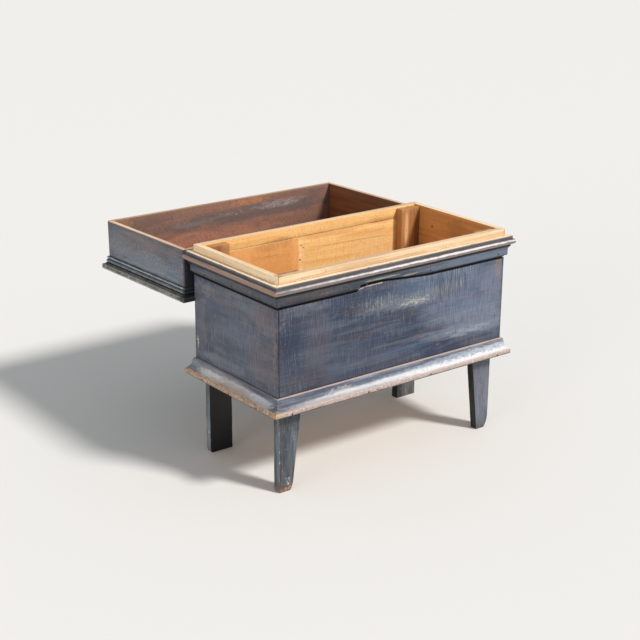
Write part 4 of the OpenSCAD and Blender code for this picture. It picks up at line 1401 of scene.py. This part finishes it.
CHIP_WOOD = BareWood((0.55, 0.47, 0.36), (0.36, 0.26, 0.17), Axis.X, (0.22, 0.12, 0.06), 0.6, 8)
RIM_WOOD = BareWood((0.56, 0.33, 0.185), (0.34, 0.19, 0.11), Axis.X, (0.14, 0.08, 0.055), 0.55, 9)
RIM_END_WOOD = BareWood((0.8, 0.56, 0.39), (0.5, 0.31, 0.2), Axis.Y, (0.24, 0.13, 0.08), 0.55, 10)
LID_WOOD_MARKS = (
    LID_INSIDE.patch(60, 722, 460, 34, (0.12, 0.096, 0.096), 0.75, (12, 30), 2.6),
    LID_INSIDE.patch(-380, 690, 200, 34, (0.155, 0.092, 0.07), 0.7, (12, 40), 2.6),
    LID_INSIDE.patch(300, 690, 160, 26, (0.105, 0.07, 0.062), 0.6, (12, 40), 2.6),
    LID_INSIDE.patch(90, 680, 90, 12, (0.46, 0.185, 0.07), 0.75, (90, 160), 4.4),
    LID_INSIDE.patch(-60, 684, 110, 12, (0.3, 0.135, 0.075), 0.6, (50, 90), 4),
    LID_INSIDE.patch(250, 684, 160, 10, (0.3, 0.125, 0.06), 0.5, (50, 90), 4),
    LID_INSIDE.patch(-420, 700, 50, 46, (0.36, 0.175, 0.09), 0.6, (40, 60), 3),
    LID_INSIDE.patch(210, 706, 120, 17, (0.27, 0.235, 0.23), 0.5, (30, 60), 3.4),
    LID_INSIDE.patch(230, 706, 90, 14, (0.46, 0.41, 0.4), 0.5, (60, 150), 6, thin=0.6),
    LID_INSIDE.patch(10, 712, 80, 13, (0.4, 0.35, 0.34), 0.42, (60, 150), 6, thin=0.6),
    LID_INSIDE.patch(-150, 724, 130, 18, (0.28, 0.24, 0.235), 0.36, (26, 60), 3.4, thin=0.3),
    LID_INSIDE.patch(290, 700, 90, 16, (0.32, 0.28, 0.27), 0.4, (50, 90), 4, thin=0.3),
    LID_INSIDE.patch(-110, 786, 400, 34, (0.47, 0.215, 0.14), 0.72, (14, 60), 2.4),
    LID_INSIDE.patch(120, 752, 240, 12, (0.36, 0.175, 0.12), 0.5, (14, 80), 3),
    Patch((-120, -300, 812), (330, 200, 20), (0.42, 0.165, 0.09), 0.65, (10, 20, 60), 2.4),
)
LID_WOOD = BareWood(
    (0.28, 0.146, 0.098), (0.184, 0.098, 0.076), Axis.X, (0.085, 0.06, 0.06), 0.5, 11, LID_WOOD_MARKS,
    0.45, 0.7, mottle=0.75,
)
LID_END_WOOD = BareWood(
    (0.24, 0.076, 0.018), (0.13, 0.036, 0.01), Axis.Y, (0.08, 0.03, 0.014), 0.5, 12, (), 0.8, mottle=0.3,
)
HINGE_IRON = OldIron()
# Width of a foot on the floor
FOOT_WIDTH = 49 * MM
# Worn corners of feet: way that the corner points along X, width gone on the floor and height, in mm
WORN_FEET = {
    "post_front_right": ((1, 15, 45),),
    "post_front_left": ((1, 8, 26), (-1, 3, 14)),
    "post_rear_left": ((-1, 4, 18),),
}
FOOT_CRACK = ((-427.5, 168), (-426, 120), (-423.5, 90), (-425, 50), (-427, 14))
# Outlines of chips as (x, z) from the middle of the front, in mm
WAIST_CHIP = (
    (-154, 596), (-152, 611.5), (-112, 613.6), (-65, 614.2), (-18, 610), (37, 605), (83, 602),
    (130, 598.6), (133, 596),
)
BASE_CHIP = ((-97, 262), (-97, 271), (-92, 274), (-87, 271), (-85, 262))
CASE_CRACKS = {
    "back_board_wood": (
        ((49, 606), (-45, 602.5), (-149, 600), (-257, 596.5), (-332, 594)),
        ((244, 604), (176, 603.5), (93, 602)),
    ),
    "right_end_board_wood": (((-128, 626), (-60, 624.5), (0, 623), (60, 622), (110, 620)),),
}
NAIL_IRON = OldIron((0.075, 0.055, 0.045), (0.15, 0.065, 0.035), 0.8, 0.6)


# The sub-assemblies


def node_islands(node: str) -> list[Box]:
    """The boxes of a CAD node's separate solids, such as its nails.

    Args:
        node: the node's name.

    Returns:
        Lowest and highest corners of each, in their order along X.
    """
    mesh = bmesh.new()
    mesh.from_mesh(frame["nodes"][node].data)
    mesh.transform(frame["nodes"][node].matrix_world)
    bmesh.ops.remove_doubles(mesh, verts=mesh.verts, dist=SOLID_WELD)
    boxes = []
    left = set(mesh.verts)
    while left:
        grown = [left.pop()]
        for vert in grown:
            others = {edge.other_vert(vert) for edge in vert.link_edges} & left
            left -= others
            grown.extend(others)
        boxes.append(box_round([v.co for v in grown]))
    mesh.free()
    return sorted(boxes, key=lambda box: tuple(box[0]))


@dataclass
class CaseBoards:
    """The four sides of the case, mitred, with the strip that tops the back."""

    plan: Plan
    low: float
    high: float
    ledge: float
    seam: float
    wall: float
    paint: Material
    lip: ByRun
    inside: ByRun
    under: Material
    cracks: dict[str, tuple[Path, ...]]
    shadow: Path
    shadow_height: float = 3.6 * MM
    shadow_depth: float = 6 * MM
    joint_inset: float = 5 * MM
    joint_gap: float = 1.5 * MM
    crack_width: float = 0.7 * MM
    crack_depth: float = 4 * MM
    rim_share: float = 1.2
    age: Age = Age(step=14 * MM, ease=1.1 * MM, wear=0.9 * MM, stretch=45 * MM)

    def open_joint(self, piece: Piece, run: float) -> None:
        """Opens the corner joints of the front, which show as dark lines just inside its ends."""
        for end in (-1, 1):
            middle = end * (run / 2 - self.joint_inset)
            low = (middle - self.joint_gap / 2, -CLEAR, self.low - CLEAR)
            high = (middle + self.joint_gap / 2, self.joint_gap, self.high + CLEAR)
            cut_with(piece, block("joint", low, high))

    def open_gap(self, piece: Piece, side: Side, run: float) -> None:
        """Sinks the dark gap under the waist, which follows the waist's edge where that has split off."""
        path = in_metres(self.shadow)
        if side is not Side.FRONT:
            path = [(-run, path[0][1]), (run, path[0][1])]
        half = self.shadow_height / 2
        upper = [(x, z + half) for x, z in path]
        lower = [(x, z - half) for x, z in reversed(path)]
        cut_with(piece, wedge("gap", upper + lower, -CLEAR, self.shadow_depth))

    def board(self, name: str, side: Side, low: float, high: float) -> Piece:
        """One side, or a part of it between two heights, modelled at the front.

        Args:
            name: the piece's name.
            side: its side of the case.
            low: its lower edge.
            high: its upper edge.

        Returns:
            The board with its materials.
        """
        run = self.plan.run(side)
        piece = block(name, (-run / 2, 0, low), (run / 2, self.wall, high))
        mitre(piece, run)
        if low < self.ledge < high:
            scribe(piece, self.ledge)
        self.age.work(piece, Axis.X)
        rim = high - self.age.ease * self.rim_share

        def is_lip(at: Vector, way: Vector) -> bool:
            """Whether a face above the ledge looks out or up, or is part of the rim."""
            return high > self.ledge and at.z > self.ledge and (way.y < SLIGHTLY or at.z > rim)

        dress(piece, (
            (self.paint, None),
            (self.inside[side.is_long], lambda at, way: way.y > PARTLY),
            (self.lip[side.is_long], is_lip),
            (self.under, lambda at, way: way.z < -SQUARELY),
        ))
        if side is Side.FRONT:
            self.open_joint(piece, run)
        if low < self.shadow[0][1] * MM:
            self.open_gap(piece, side, run)
        for path in self.cracks.get(name, ()):
            crack(piece, path, self.crack_width, self.wall - self.crack_depth, self.wall + CLEAR)
        put(piece, self.plan.on_side(side))
        return piece

    def build(self) -> None:
        """Makes the five boards."""
        boards = {
            "front_board": (Side.FRONT, self.low, self.high),
            "left_end_board": (Side.LEFT, self.low, self.high),
            "right_end_board": (Side.RIGHT, self.low, self.high),
            "back_board": (Side.BACK, self.low, self.seam),
            "back_top_strip": (Side.BACK, self.seam, self.high),
        }
        for node, place in boards.items():
            slot = "case_edge_wood" if node == "back_top_strip" else "case_boards"
            settle(self.board(f"{node}_wood", *place), "chest", slot, node)


@dataclass
class FloorBoards:
    """The boards of the case's floor, notched round the posts."""

    nodes: tuple[str, ...]
    posts: tuple[str, ...]
    wood: Material
    gap: float = 0.6 * MM
    ease: float = 0.8 * MM

    def build(self) -> None:
        """Makes the floor boards."""
        margin = Vector((self.gap, self.gap, 0))
        for node in self.nodes:
            low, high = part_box(node)
            piece = block(f"{node}_wood", low, high)
            for post in self.posts:
                post_low, post_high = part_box(post)
                if post_low.y < high.y and post_high.y > low.y:
                    cut_with(piece, block("notch", post_low - margin, post_high + margin))
            ease_edges(piece, self.ease)
            dress(piece, ((self.wood, None),))
            settle(piece, "chest", "floor_wood", node)


@dataclass
class CornerPosts:
    """The four posts that run on down as the legs."""

    nodes: tuple[str, ...]
    taper_top: float
    foot: float
    width: float
    paint: Material
    dark: Material
    wood: Material
    worn: dict[str, tuple[tuple[int, float, float], ...]]
    crack: Path
    crack_width: float = 1.8 * MM
    crack_depth: float = 7 * MM
    age: Age = Age(step=12 * MM, ease=1.4 * MM, wear=1.3 * MM, stretch=30 * MM)

    def post(self, node: str, low: Vector, high: Vector) -> Piece:
        """One post.

        Args:
            node: its CAD node.
            low: the lowest corner of its box.
            high: the highest corner of its box.

        Returns:
            The post with its materials.
        """
        end = -1 if "left" in node else 1
        top = self.taper_top
        piece = block(f"{node}_wood", low, high)
        if "front" in node:
            lean = (self.width - self.foot) / top
            inner = high.x if end < 0 else low.x
            saw(piece, (inner, 0, top), (-end, 0, -lean))
        scribe(piece, top)
        step_along(piece, Axis.Z, self.age.step)
        for way, width, height in self.worn.get(node, ()):
            self.wear_foot(piece, way, width * MM, height * MM)
        self.age.work(piece)
        dress(piece, (
            (self.paint, None),
            # The inner faces under the case take the near-black coat, which is painted shade
            (self.dark, lambda at, way: way.x * end < -MOSTLY),
            (self.wood, lambda at, way: at.z > top),
        ))
        return piece

    def wear_foot(self, piece: Piece, end: int, width: float, height: float) -> None:
        """Wears the corner of a foot round, most at the floor.

        Args:
            piece: the post.
            end: the way that the corner points along X.
            width: how much of the foot's width is gone on the floor.
            height: how far up the wear goes.
        """
        corner = [v.co.copy() for v in piece.data.vertices if v.co.z < height]
        middle = sum(v.x for v in corner) / len(corner)
        for level in sorted({round(v.z / MM, 2) * MM for v in corner}):
            gone = width * (1 - level / height) ** 2
            with editing(piece) as mesh:
                for vert in mesh.verts:
                    if abs(vert.co.z - level) < SAME_LEVEL and (vert.co.x - middle) * end > 0:
                        vert.select_set(True)
                bmesh.update_edit_mesh(piece.data)
                bpy.ops.transform.translate(value=(-end * gone, 0, 0))

    def build(self) -> None:
        """Makes the four posts."""
        for node in self.nodes:
            low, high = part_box(node)
            piece = self.post(node, low, high)
            if node == "post_front_left":
                crack(piece, self.crack, self.crack_width, low.y - CLEAR, low.y + self.crack_depth)
            settle(piece, "chest", "posts", node)


@dataclass(frozen=True)
class Chip:
    """A place where a front moulding's edge has split off: its outline as (x, z) and its depth, in mm."""

    outline: Path
    front: float
    back: float
    wood: Material

    def cut(self, piece: Piece) -> None:
        """Splits the chip off a length that is still modelled at the front."""
        slots = piece.data.materials
        slots.append(self.wood)
        cutter = wedge("chip", in_metres(self.outline), self.front * MM, self.back * MM)
        for _ in range(len(slots)):
            cutter.data.materials.append(self.wood)
        for face in cutter.data.polygons:
            face.material_index = len(slots) - 1
        cut_with(piece, cutter)


@dataclass
class Moulding:
    """A moulding that runs round a case or lid in four mitred lengths."""

    name: str
    plan: Plan
    level: float
    section: Union[Waist, Base, Bed]
    body: str
    paint: Material
    hidden: Material
    move: Matrix
    top: Optional[Material] = None
    top_skin: float = 0.3 * MM
    nails: tuple[Box, ...] = ()
    nail_gap: float = 0.25 * MM
    nail_hole: float = 2.4 * MM
    nail_reach: float = 20 * MM
    pockets: tuple[Box, ...] = ()
    chip: Optional[Chip] = None
    age: Age = Age(step=11 * MM, ease=0.7 * MM, wear=1.0 * MM, stretch=28 * MM)

    def length(self, side: Side) -> Piece:
        """The length along one side, with its materials.

        Args:
            side: the side.

        Returns:
            The piece in its place.
        """
        run = self.plan.run(side)
        piece = stick(f"{self.name}_{side.value}_wood", self.section.strokes(), run)
        mitre(piece, run)
        put(piece, Matrix.Translation((0, 0, self.level)))
        self.age.work(piece, Axis.X)
        coats = [(self.paint, None), (self.hidden, lambda at, way: way.y > SQUARELY)]
        if self.top:
            ledge = self.level - self.top_skin
            coats.append((self.top, lambda at, way: at.z > ledge))
        dress(piece, coats)
        if self.chip and side is Side.FRONT:
            self.chip.cut(piece)
        put(piece, self.move @ self.plan.on_side(side))
        return piece

    def set_nails(self, piece: Piece, side: Side) -> None:
        """Sinks a hole round each of this length's nails, so that their heads show.

        Args:
            piece: the length of moulding in its place.
            side: its side.
        """
        outward = (self.move @ self.plan.on_side(side)).to_3x3() @ Vector((0, -1, 0))
        axis = max(range(3), key=lambda i: abs(outward[i]))
        lowest, highest = box_round([v.co for v in piece.data.vertices])
        reach = Vector((self.nail_reach,) * 3)
        lowest, highest = lowest - reach, highest + reach
        for low, high in self.nails:
            middle, size = (low + high) / 2, high - low
            if max(range(3), key=lambda i: size[i]) != axis:
                continue
            if any(not lowest[i] <= middle[i] <= highest[i] for i in range(3)):
                continue
            middle[axis] = high[axis] if outward[axis] > 0 else low[axis]
            radius = min(size) / 2 + self.nail_gap
            bpy.ops.object.select_all(action="DESELECT")
            bpy.ops.mesh.primitive_cylinder_add(
                vertices=DRILL_SIDES, radius=radius, depth=self.nail_hole, location=middle
            )
            drill = bpy.context.object
            drill.rotation_mode = "QUATERNION"
            drill.rotation_quaternion = Vector((0, 0, 1)).rotation_difference(outward)
            cut_with(piece, added("drill"))

    def build(self) -> None:
        """Makes the four lengths."""
        for side in Side:
            piece = self.length(side)
            self.set_nails(piece, side)
            if side is Side.BACK:
                cut_pockets(piece, self.pockets)
            settle(piece, self.body, self.name, f"{self.name}_{side.value}")


@dataclass
class LidWalls:
    """The four walls of the lid, mitred; built shut and swung open."""

    plan: Plan
    low: float
    high: float
    wall: float
    swing: Matrix
    paint: Material
    inside: ByRun
    rim: ByRun
    pockets: tuple[Box, ...]
    rim_share: float = 1.3
    age: Age = Age(step=14 * MM, ease=1.2 * MM, wear=1.0 * MM, stretch=40 * MM)

    def build(self) -> None:
        """Makes the four walls."""
        rim_high = self.low + self.age.ease * self.rim_share
        for side in Side:
            run = self.plan.run(side)
            node = f"lid_{side.value}_board"
            piece = block(f"{node}_wood", (-run / 2, 0, self.low), (run / 2, self.wall, self.high))
            mitre(piece, run)
            self.age.work(piece, Axis.X)
            dress(piece, (
                (self.paint, None),
                (self.inside[side.is_long], lambda at, way: way.y > PARTLY),
                (self.rim[side.is_long], lambda at, way: at.z < rim_high),
            ))
            put(piece, self.plan.on_side(side))
            if side is Side.BACK:
                cut_pockets(piece, self.pockets)
            put(piece, self.swing)
            settle(piece, "lid", "lid_boards", node)


@dataclass
class LidTop:
    """The two boards of the lid's top, which overhang its walls."""

    boxes: dict[str, Box]
    swing: Matrix
    paint: Material
    inside: Material
    walls: Plan
    bevel: float = 3 * MM
    age: Age = Age(step=14 * MM, ease=0.9 * MM, wear=1.2 * MM, stretch=35 * MM, angle=42)

    def round_top(self, piece: Piece, top: float) -> None:
        """Rounds the upper edges of a board, but for the one at the seam between the two boards.

        Args:
            piece: the board.
            top: the height of its upper face.
        """
        front = min(low.y for low, _ in self.boxes.values()) + self.age.ease
        rear = max(high.y for _, high in self.boxes.values()) - self.age.ease
        with editing(piece) as mesh:
            bpy.ops.mesh.select_mode(type="EDGE")
            for edge in mesh.edges:
                a, b = edge.verts[0].co, edge.verts[1].co
                on_top = min(a.z, b.z) > top - SOLID_WELD
                at_seam = front < (a.y + b.y) / 2 < rear and abs(a.x - b.x) > self.bevel
                if on_top and not at_seam:
                    edge.select_set(True)
            bmesh.update_edit_mesh(piece.data)
            bpy.ops.mesh.bevel(offset=self.bevel, segments=TOP_FACETS)

    def is_inside(self, at: Vector) -> bool:
        """Whether a place is within the walls, seen from above."""
        return self.walls.x0 < at.x < self.walls.x1 and self.walls.y0 < at.y < self.walls.y1

    def build(self) -> None:
        """Makes the two boards."""
        for node, (low, high) in self.boxes.items():
            piece = block(f"{node}_wood", low, high)
            self.round_top(piece, high.z)
            self.age.work(piece, Axis.X, Axis.Y)
            under = low.z + self.age.ease
            dress(piece, (
                (self.paint, None),
                (self.inside, lambda at, way: at.z < under and way.z < -PARTLY and self.is_inside(at)),
            ))
            put(piece, self.swing)
            settle(piece, "lid", "lid_top", node)


@dataclass(frozen=True)
class Ironwork:
    """Gives the hinges and the nails, which stay as they are in the frame, their iron."""

    hinge: Material
    nail: Material

    def build(self) -> None:
        """Puts the iron on."""
        for name, node in frame["nodes"].items():
            if "hinge" in name or "nails" in name:
                node.data.materials.clear()
                node.data.materials.append(self.hinge if "hinge" in name else self.nail)
                LOG.info("%s: iron", name)


@dataclass(frozen=True)
class Studio:
    """A plain pale floor, soft light and the camera of the photograph."""

    eye: Triple = (-2.678692, -3.537876, 1.864105)
    yaw: float = 37.762
    pitch: float = 18.937
    roll: float = 0.3957
    lens: float = 79.206
    film_width: float = 36
    floor_size: float = 60
    floor_colour: Colour = (0.8, 0.79, 0.77)
    floor_roughness: float = 0.9
    sky: float = 0.42
    sky_colour: Colour = (0.94, 0.97, 1.0)
    sun: float = 3.1
    sun_width: float = 10
    sun_from: Triple = (0.43, -0.95, 1.0)
    sun_colour: Colour = (1.0, 0.97, 0.93)
    fill: float = 0.8
    fill_width: float = 30
    fill_from: Triple = (-1.0, -0.3, 0.16)
    fill_colour: Colour = (0.97, 0.98, 1.0)

    def camera(self) -> None:
        """The camera."""
        yaw, pitch, roll = (math.radians(a) for a in (self.yaw, self.pitch, self.roll))
        forward = Vector((math.sin(yaw) * math.cos(pitch), math.cos(yaw) * math.cos(pitch), -math.sin(pitch)))
        level = Vector((math.cos(yaw), -math.sin(yaw), 0))
        upright = level.cross(forward)
        right = level * math.cos(roll) + upright * math.sin(roll)
        up = upright * math.cos(roll) - level * math.sin(roll)
        data = bpy.data.cameras.new("camera")
        data.lens = self.lens
        data.sensor_width = self.film_width
        camera = bpy.data.objects.new("camera", data)
        bpy.context.scene.collection.objects.link(camera)
        turned = Matrix((right, up, -forward)).transposed().to_4x4()
        camera.matrix_world = Matrix.Translation(self.eye) @ turned
        bpy.context.scene.camera = camera

    def lamp(self, name: str, strength: float, width: float, came_from: Triple, colour: Colour) -> None:
        """A distant lamp.

        Args:
            name: its name.
            strength: its strength.
            width: its width in degrees, which softens its shadows.
            came_from: the way to it.
            colour: its colour.
        """
        data = bpy.data.lights.new(name, "SUN")
        data.energy = strength
        data.angle = math.radians(width)
        data.color = colour
        lamp = bpy.data.objects.new(name, data)
        bpy.context.scene.collection.objects.link(lamp)
        lamp.rotation_mode = "QUATERNION"
        lamp.rotation_quaternion = Vector(came_from).to_track_quat("Z", "Y")

    def light(self) -> None:
        """A soft key light from the front, a low fill from the left and an even sky."""
        self.lamp("key", self.sun, self.sun_width, self.sun_from, self.sun_colour)
        self.lamp("fill", self.fill, self.fill_width, self.fill_from, self.fill_colour)
        world = bpy.data.worlds.new("studio")
        bpy.context.scene.world = world
        world.use_nodes = True
        tree = world.node_tree
        tree.nodes.clear()
        sky = tree.nodes.new("ShaderNodeBackground")
        sky.inputs["Color"].default_value = (*self.sky_colour, 1)
        sky.inputs["Strength"].default_value = self.sky
        output = tree.nodes.new("ShaderNodeOutputWorld")
        tree.links.new(sky.outputs[0], output.inputs["Surface"])

    def floor(self) -> None:
        """The floor."""
        bpy.ops.object.select_all(action="DESELECT")
        bpy.ops.mesh.primitive_plane_add(size=self.floor_size)
        floor = added("studio_floor")
        material = bpy.data.materials.new("studio_floor")
        material.use_nodes = True
        shader = material.node_tree.nodes["Principled BSDF"]
        shader.inputs["Base Color"].default_value = (*self.floor_colour, 1)
        shader.inputs["Roughness"].default_value = self.floor_roughness
        floor.data.materials.append(material)

    def build(self) -> None:
        """Sets the studio up."""
        self.camera()
        self.light()
        self.floor()
        bpy.context.scene.view_settings.view_transform = "Standard"


def opening() -> Matrix:
    """The swing of the shut lid to its open rest."""
    joint = frame["joints"][0]
    axis = Vector(joint["pos_m"])
    turn = Matrix.Rotation(-math.radians(joint["range_deg"][1]), 4, Vector(joint["axis"]))
    return Matrix.Translation(axis) @ turn @ Matrix.Translation(-axis)


def shut_box(node: str, swing: Matrix) -> Box:
    """The box of one of the lid's CAD nodes when the lid is shut."""
    source = frame["nodes"][node]
    shut = swing.inverted() @ source.matrix_world
    return box_round([shut @ v.co for v in source.data.vertices])


def pocket(leaf: Box, gap: float = 0.2 * MM, through: float = 2 * MM) -> Box:
    """The pocket of a hinge leaf: its box with a gap round it, open towards the joint's other side.

    Args:
        leaf: the leaf's box, with the lid shut.
        gap: the gap at its ends and behind it.
        through: how far the pocket goes past the leaf's face; positive is up.

    Returns:
        The pocket's corners.
    """
    down, up = (gap, through) if through > 0 else (-through, gap)
    return leaf[0] - Vector((gap, gap, down)), leaf[1] + Vector((gap, gap, up))


def cut_pockets(piece: Piece, pockets: Iterable[Box]) -> None:
    """Cuts the pockets of the hinge leaves into a piece."""
    for low, high in pockets:
        cut_with(piece, block("pocket", low, high))


def build_case(under: Material) -> None:
    """Builds what stands still: the case with its floor, posts and mouldings."""
    low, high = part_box("front_board")
    rear_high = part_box("back_board")[1]
    plan = Plan(low.x, high.x, low.y, rear_high.y)
    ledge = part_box("waist_moulding_front")[1].z
    lip = {True: LIP_LONG.build("lip_long_wood"), False: LIP_END.build("lip_end_wood")}
    inside = {True: INSIDE_LONG.build("inside_long_wood"), False: INSIDE_END.build("inside_end_wood")}
    CaseBoards(
        plan, low.z, high.z, ledge, rear_high.z, high.y - low.y, CASE_COAT.build(), lip, inside, under,
        CASE_CRACKS, SHADOW_LINE,
    ).build()
    boards = ("floor_board_front", "floor_board_middle", "floor_board_rear")
    posts = ("post_front_left", "post_front_right", "post_rear_left", "post_rear_right")
    FloorBoards(boards, posts, BOARD_WOOD.build("floor_wood")).build()
    post_low, post_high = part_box(posts[0])
    CornerPosts(
        posts, low.z, FOOT_WIDTH, post_high.x - post_low.x, POST_COAT.build(), POST_SHADE_COAT.build(),
        POST_WOOD.build("post_wood"), WORN_FEET, FOOT_CRACK,
    ).build()
    still = Matrix.Identity(4)
    chip_wood = CHIP_WOOD.build("chip_wood")
    leaves = ("hinge_leaf_case_left", "hinge_leaf_case_right")
    Moulding(
        "waist_moulding", plan, ledge, Waist(), "chest", WAIST_COAT.build(), under, still,
        top=LEDGE_WOOD.build("ledge_wood"),
        nails=tuple(node_islands("waist_moulding_nails")),
        pockets=tuple(pocket(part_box(leaf)) for leaf in leaves),
        chip=Chip(WAIST_CHIP, -12, 1, chip_wood),
    ).build()
    Moulding(
        "base_moulding", plan, low.z, Base(), "chest", BASE_COAT.build(), under, still,
        nails=tuple(node_islands("base_moulding_nails")),
        chip=Chip(BASE_CHIP, -30, -21, chip_wood),
    ).build()


def build_lid(under: Material) -> None:
    """Builds the lid shut, as a joiner would, and swings each piece of it open."""
    swing = opening()
    shut = swing.inverted()
    low, high = shut_box("lid_front_board", swing)
    plan = Plan(low.x, high.x, low.y, shut_box("lid_back_board", swing)[1].y)
    leaves = ("hinge_leaf_lid_left", "hinge_leaf_lid_right")
    pockets = tuple(pocket(shut_box(leaf, swing), through=-2 * MM) for leaf in leaves)
    long_inside = LID_WOOD.build("lid_inside_long", shut)
    inside = {True: long_inside, False: LID_END_WOOD.build("lid_inside_end", shut)}
    rims = {True: RIM_WOOD.build("lid_rim_long", shut), False: RIM_END_WOOD.build("lid_rim_end", shut)}
    paint = LID_COAT.build(shut)
    LidWalls(plan, low.z, high.z, high.y - low.y, swing, paint, inside, rims, pockets).build()
    boxes = {node: shut_box(node, swing) for node in ("lid_top_board_front", "lid_top_board_rear")}
    slab = SLAB_COAT.build(shut)
    LidTop(boxes, swing, slab, long_inside, plan).build()
    nails = tuple(node_islands("lid_moulding_nails"))
    bed = Bed()
    Moulding("lid_moulding", plan, high.z - bed.height, bed, "lid", slab, under, swing, nails=nails).build()


def main() -> None:
    """Builds the looks of the chest around its frame."""
    logging.basicConfig(level=logging.INFO, format="%(message)s")
    under = UNDER_WOOD.build("underside_wood")
    build_case(under)
    build_lid(under)
    Ironwork(HINGE_IRON.build("hinge_iron"), NAIL_IRON.build("nail_iron")).build()
    Studio().build()


if __name__ == "__main__":
    main()
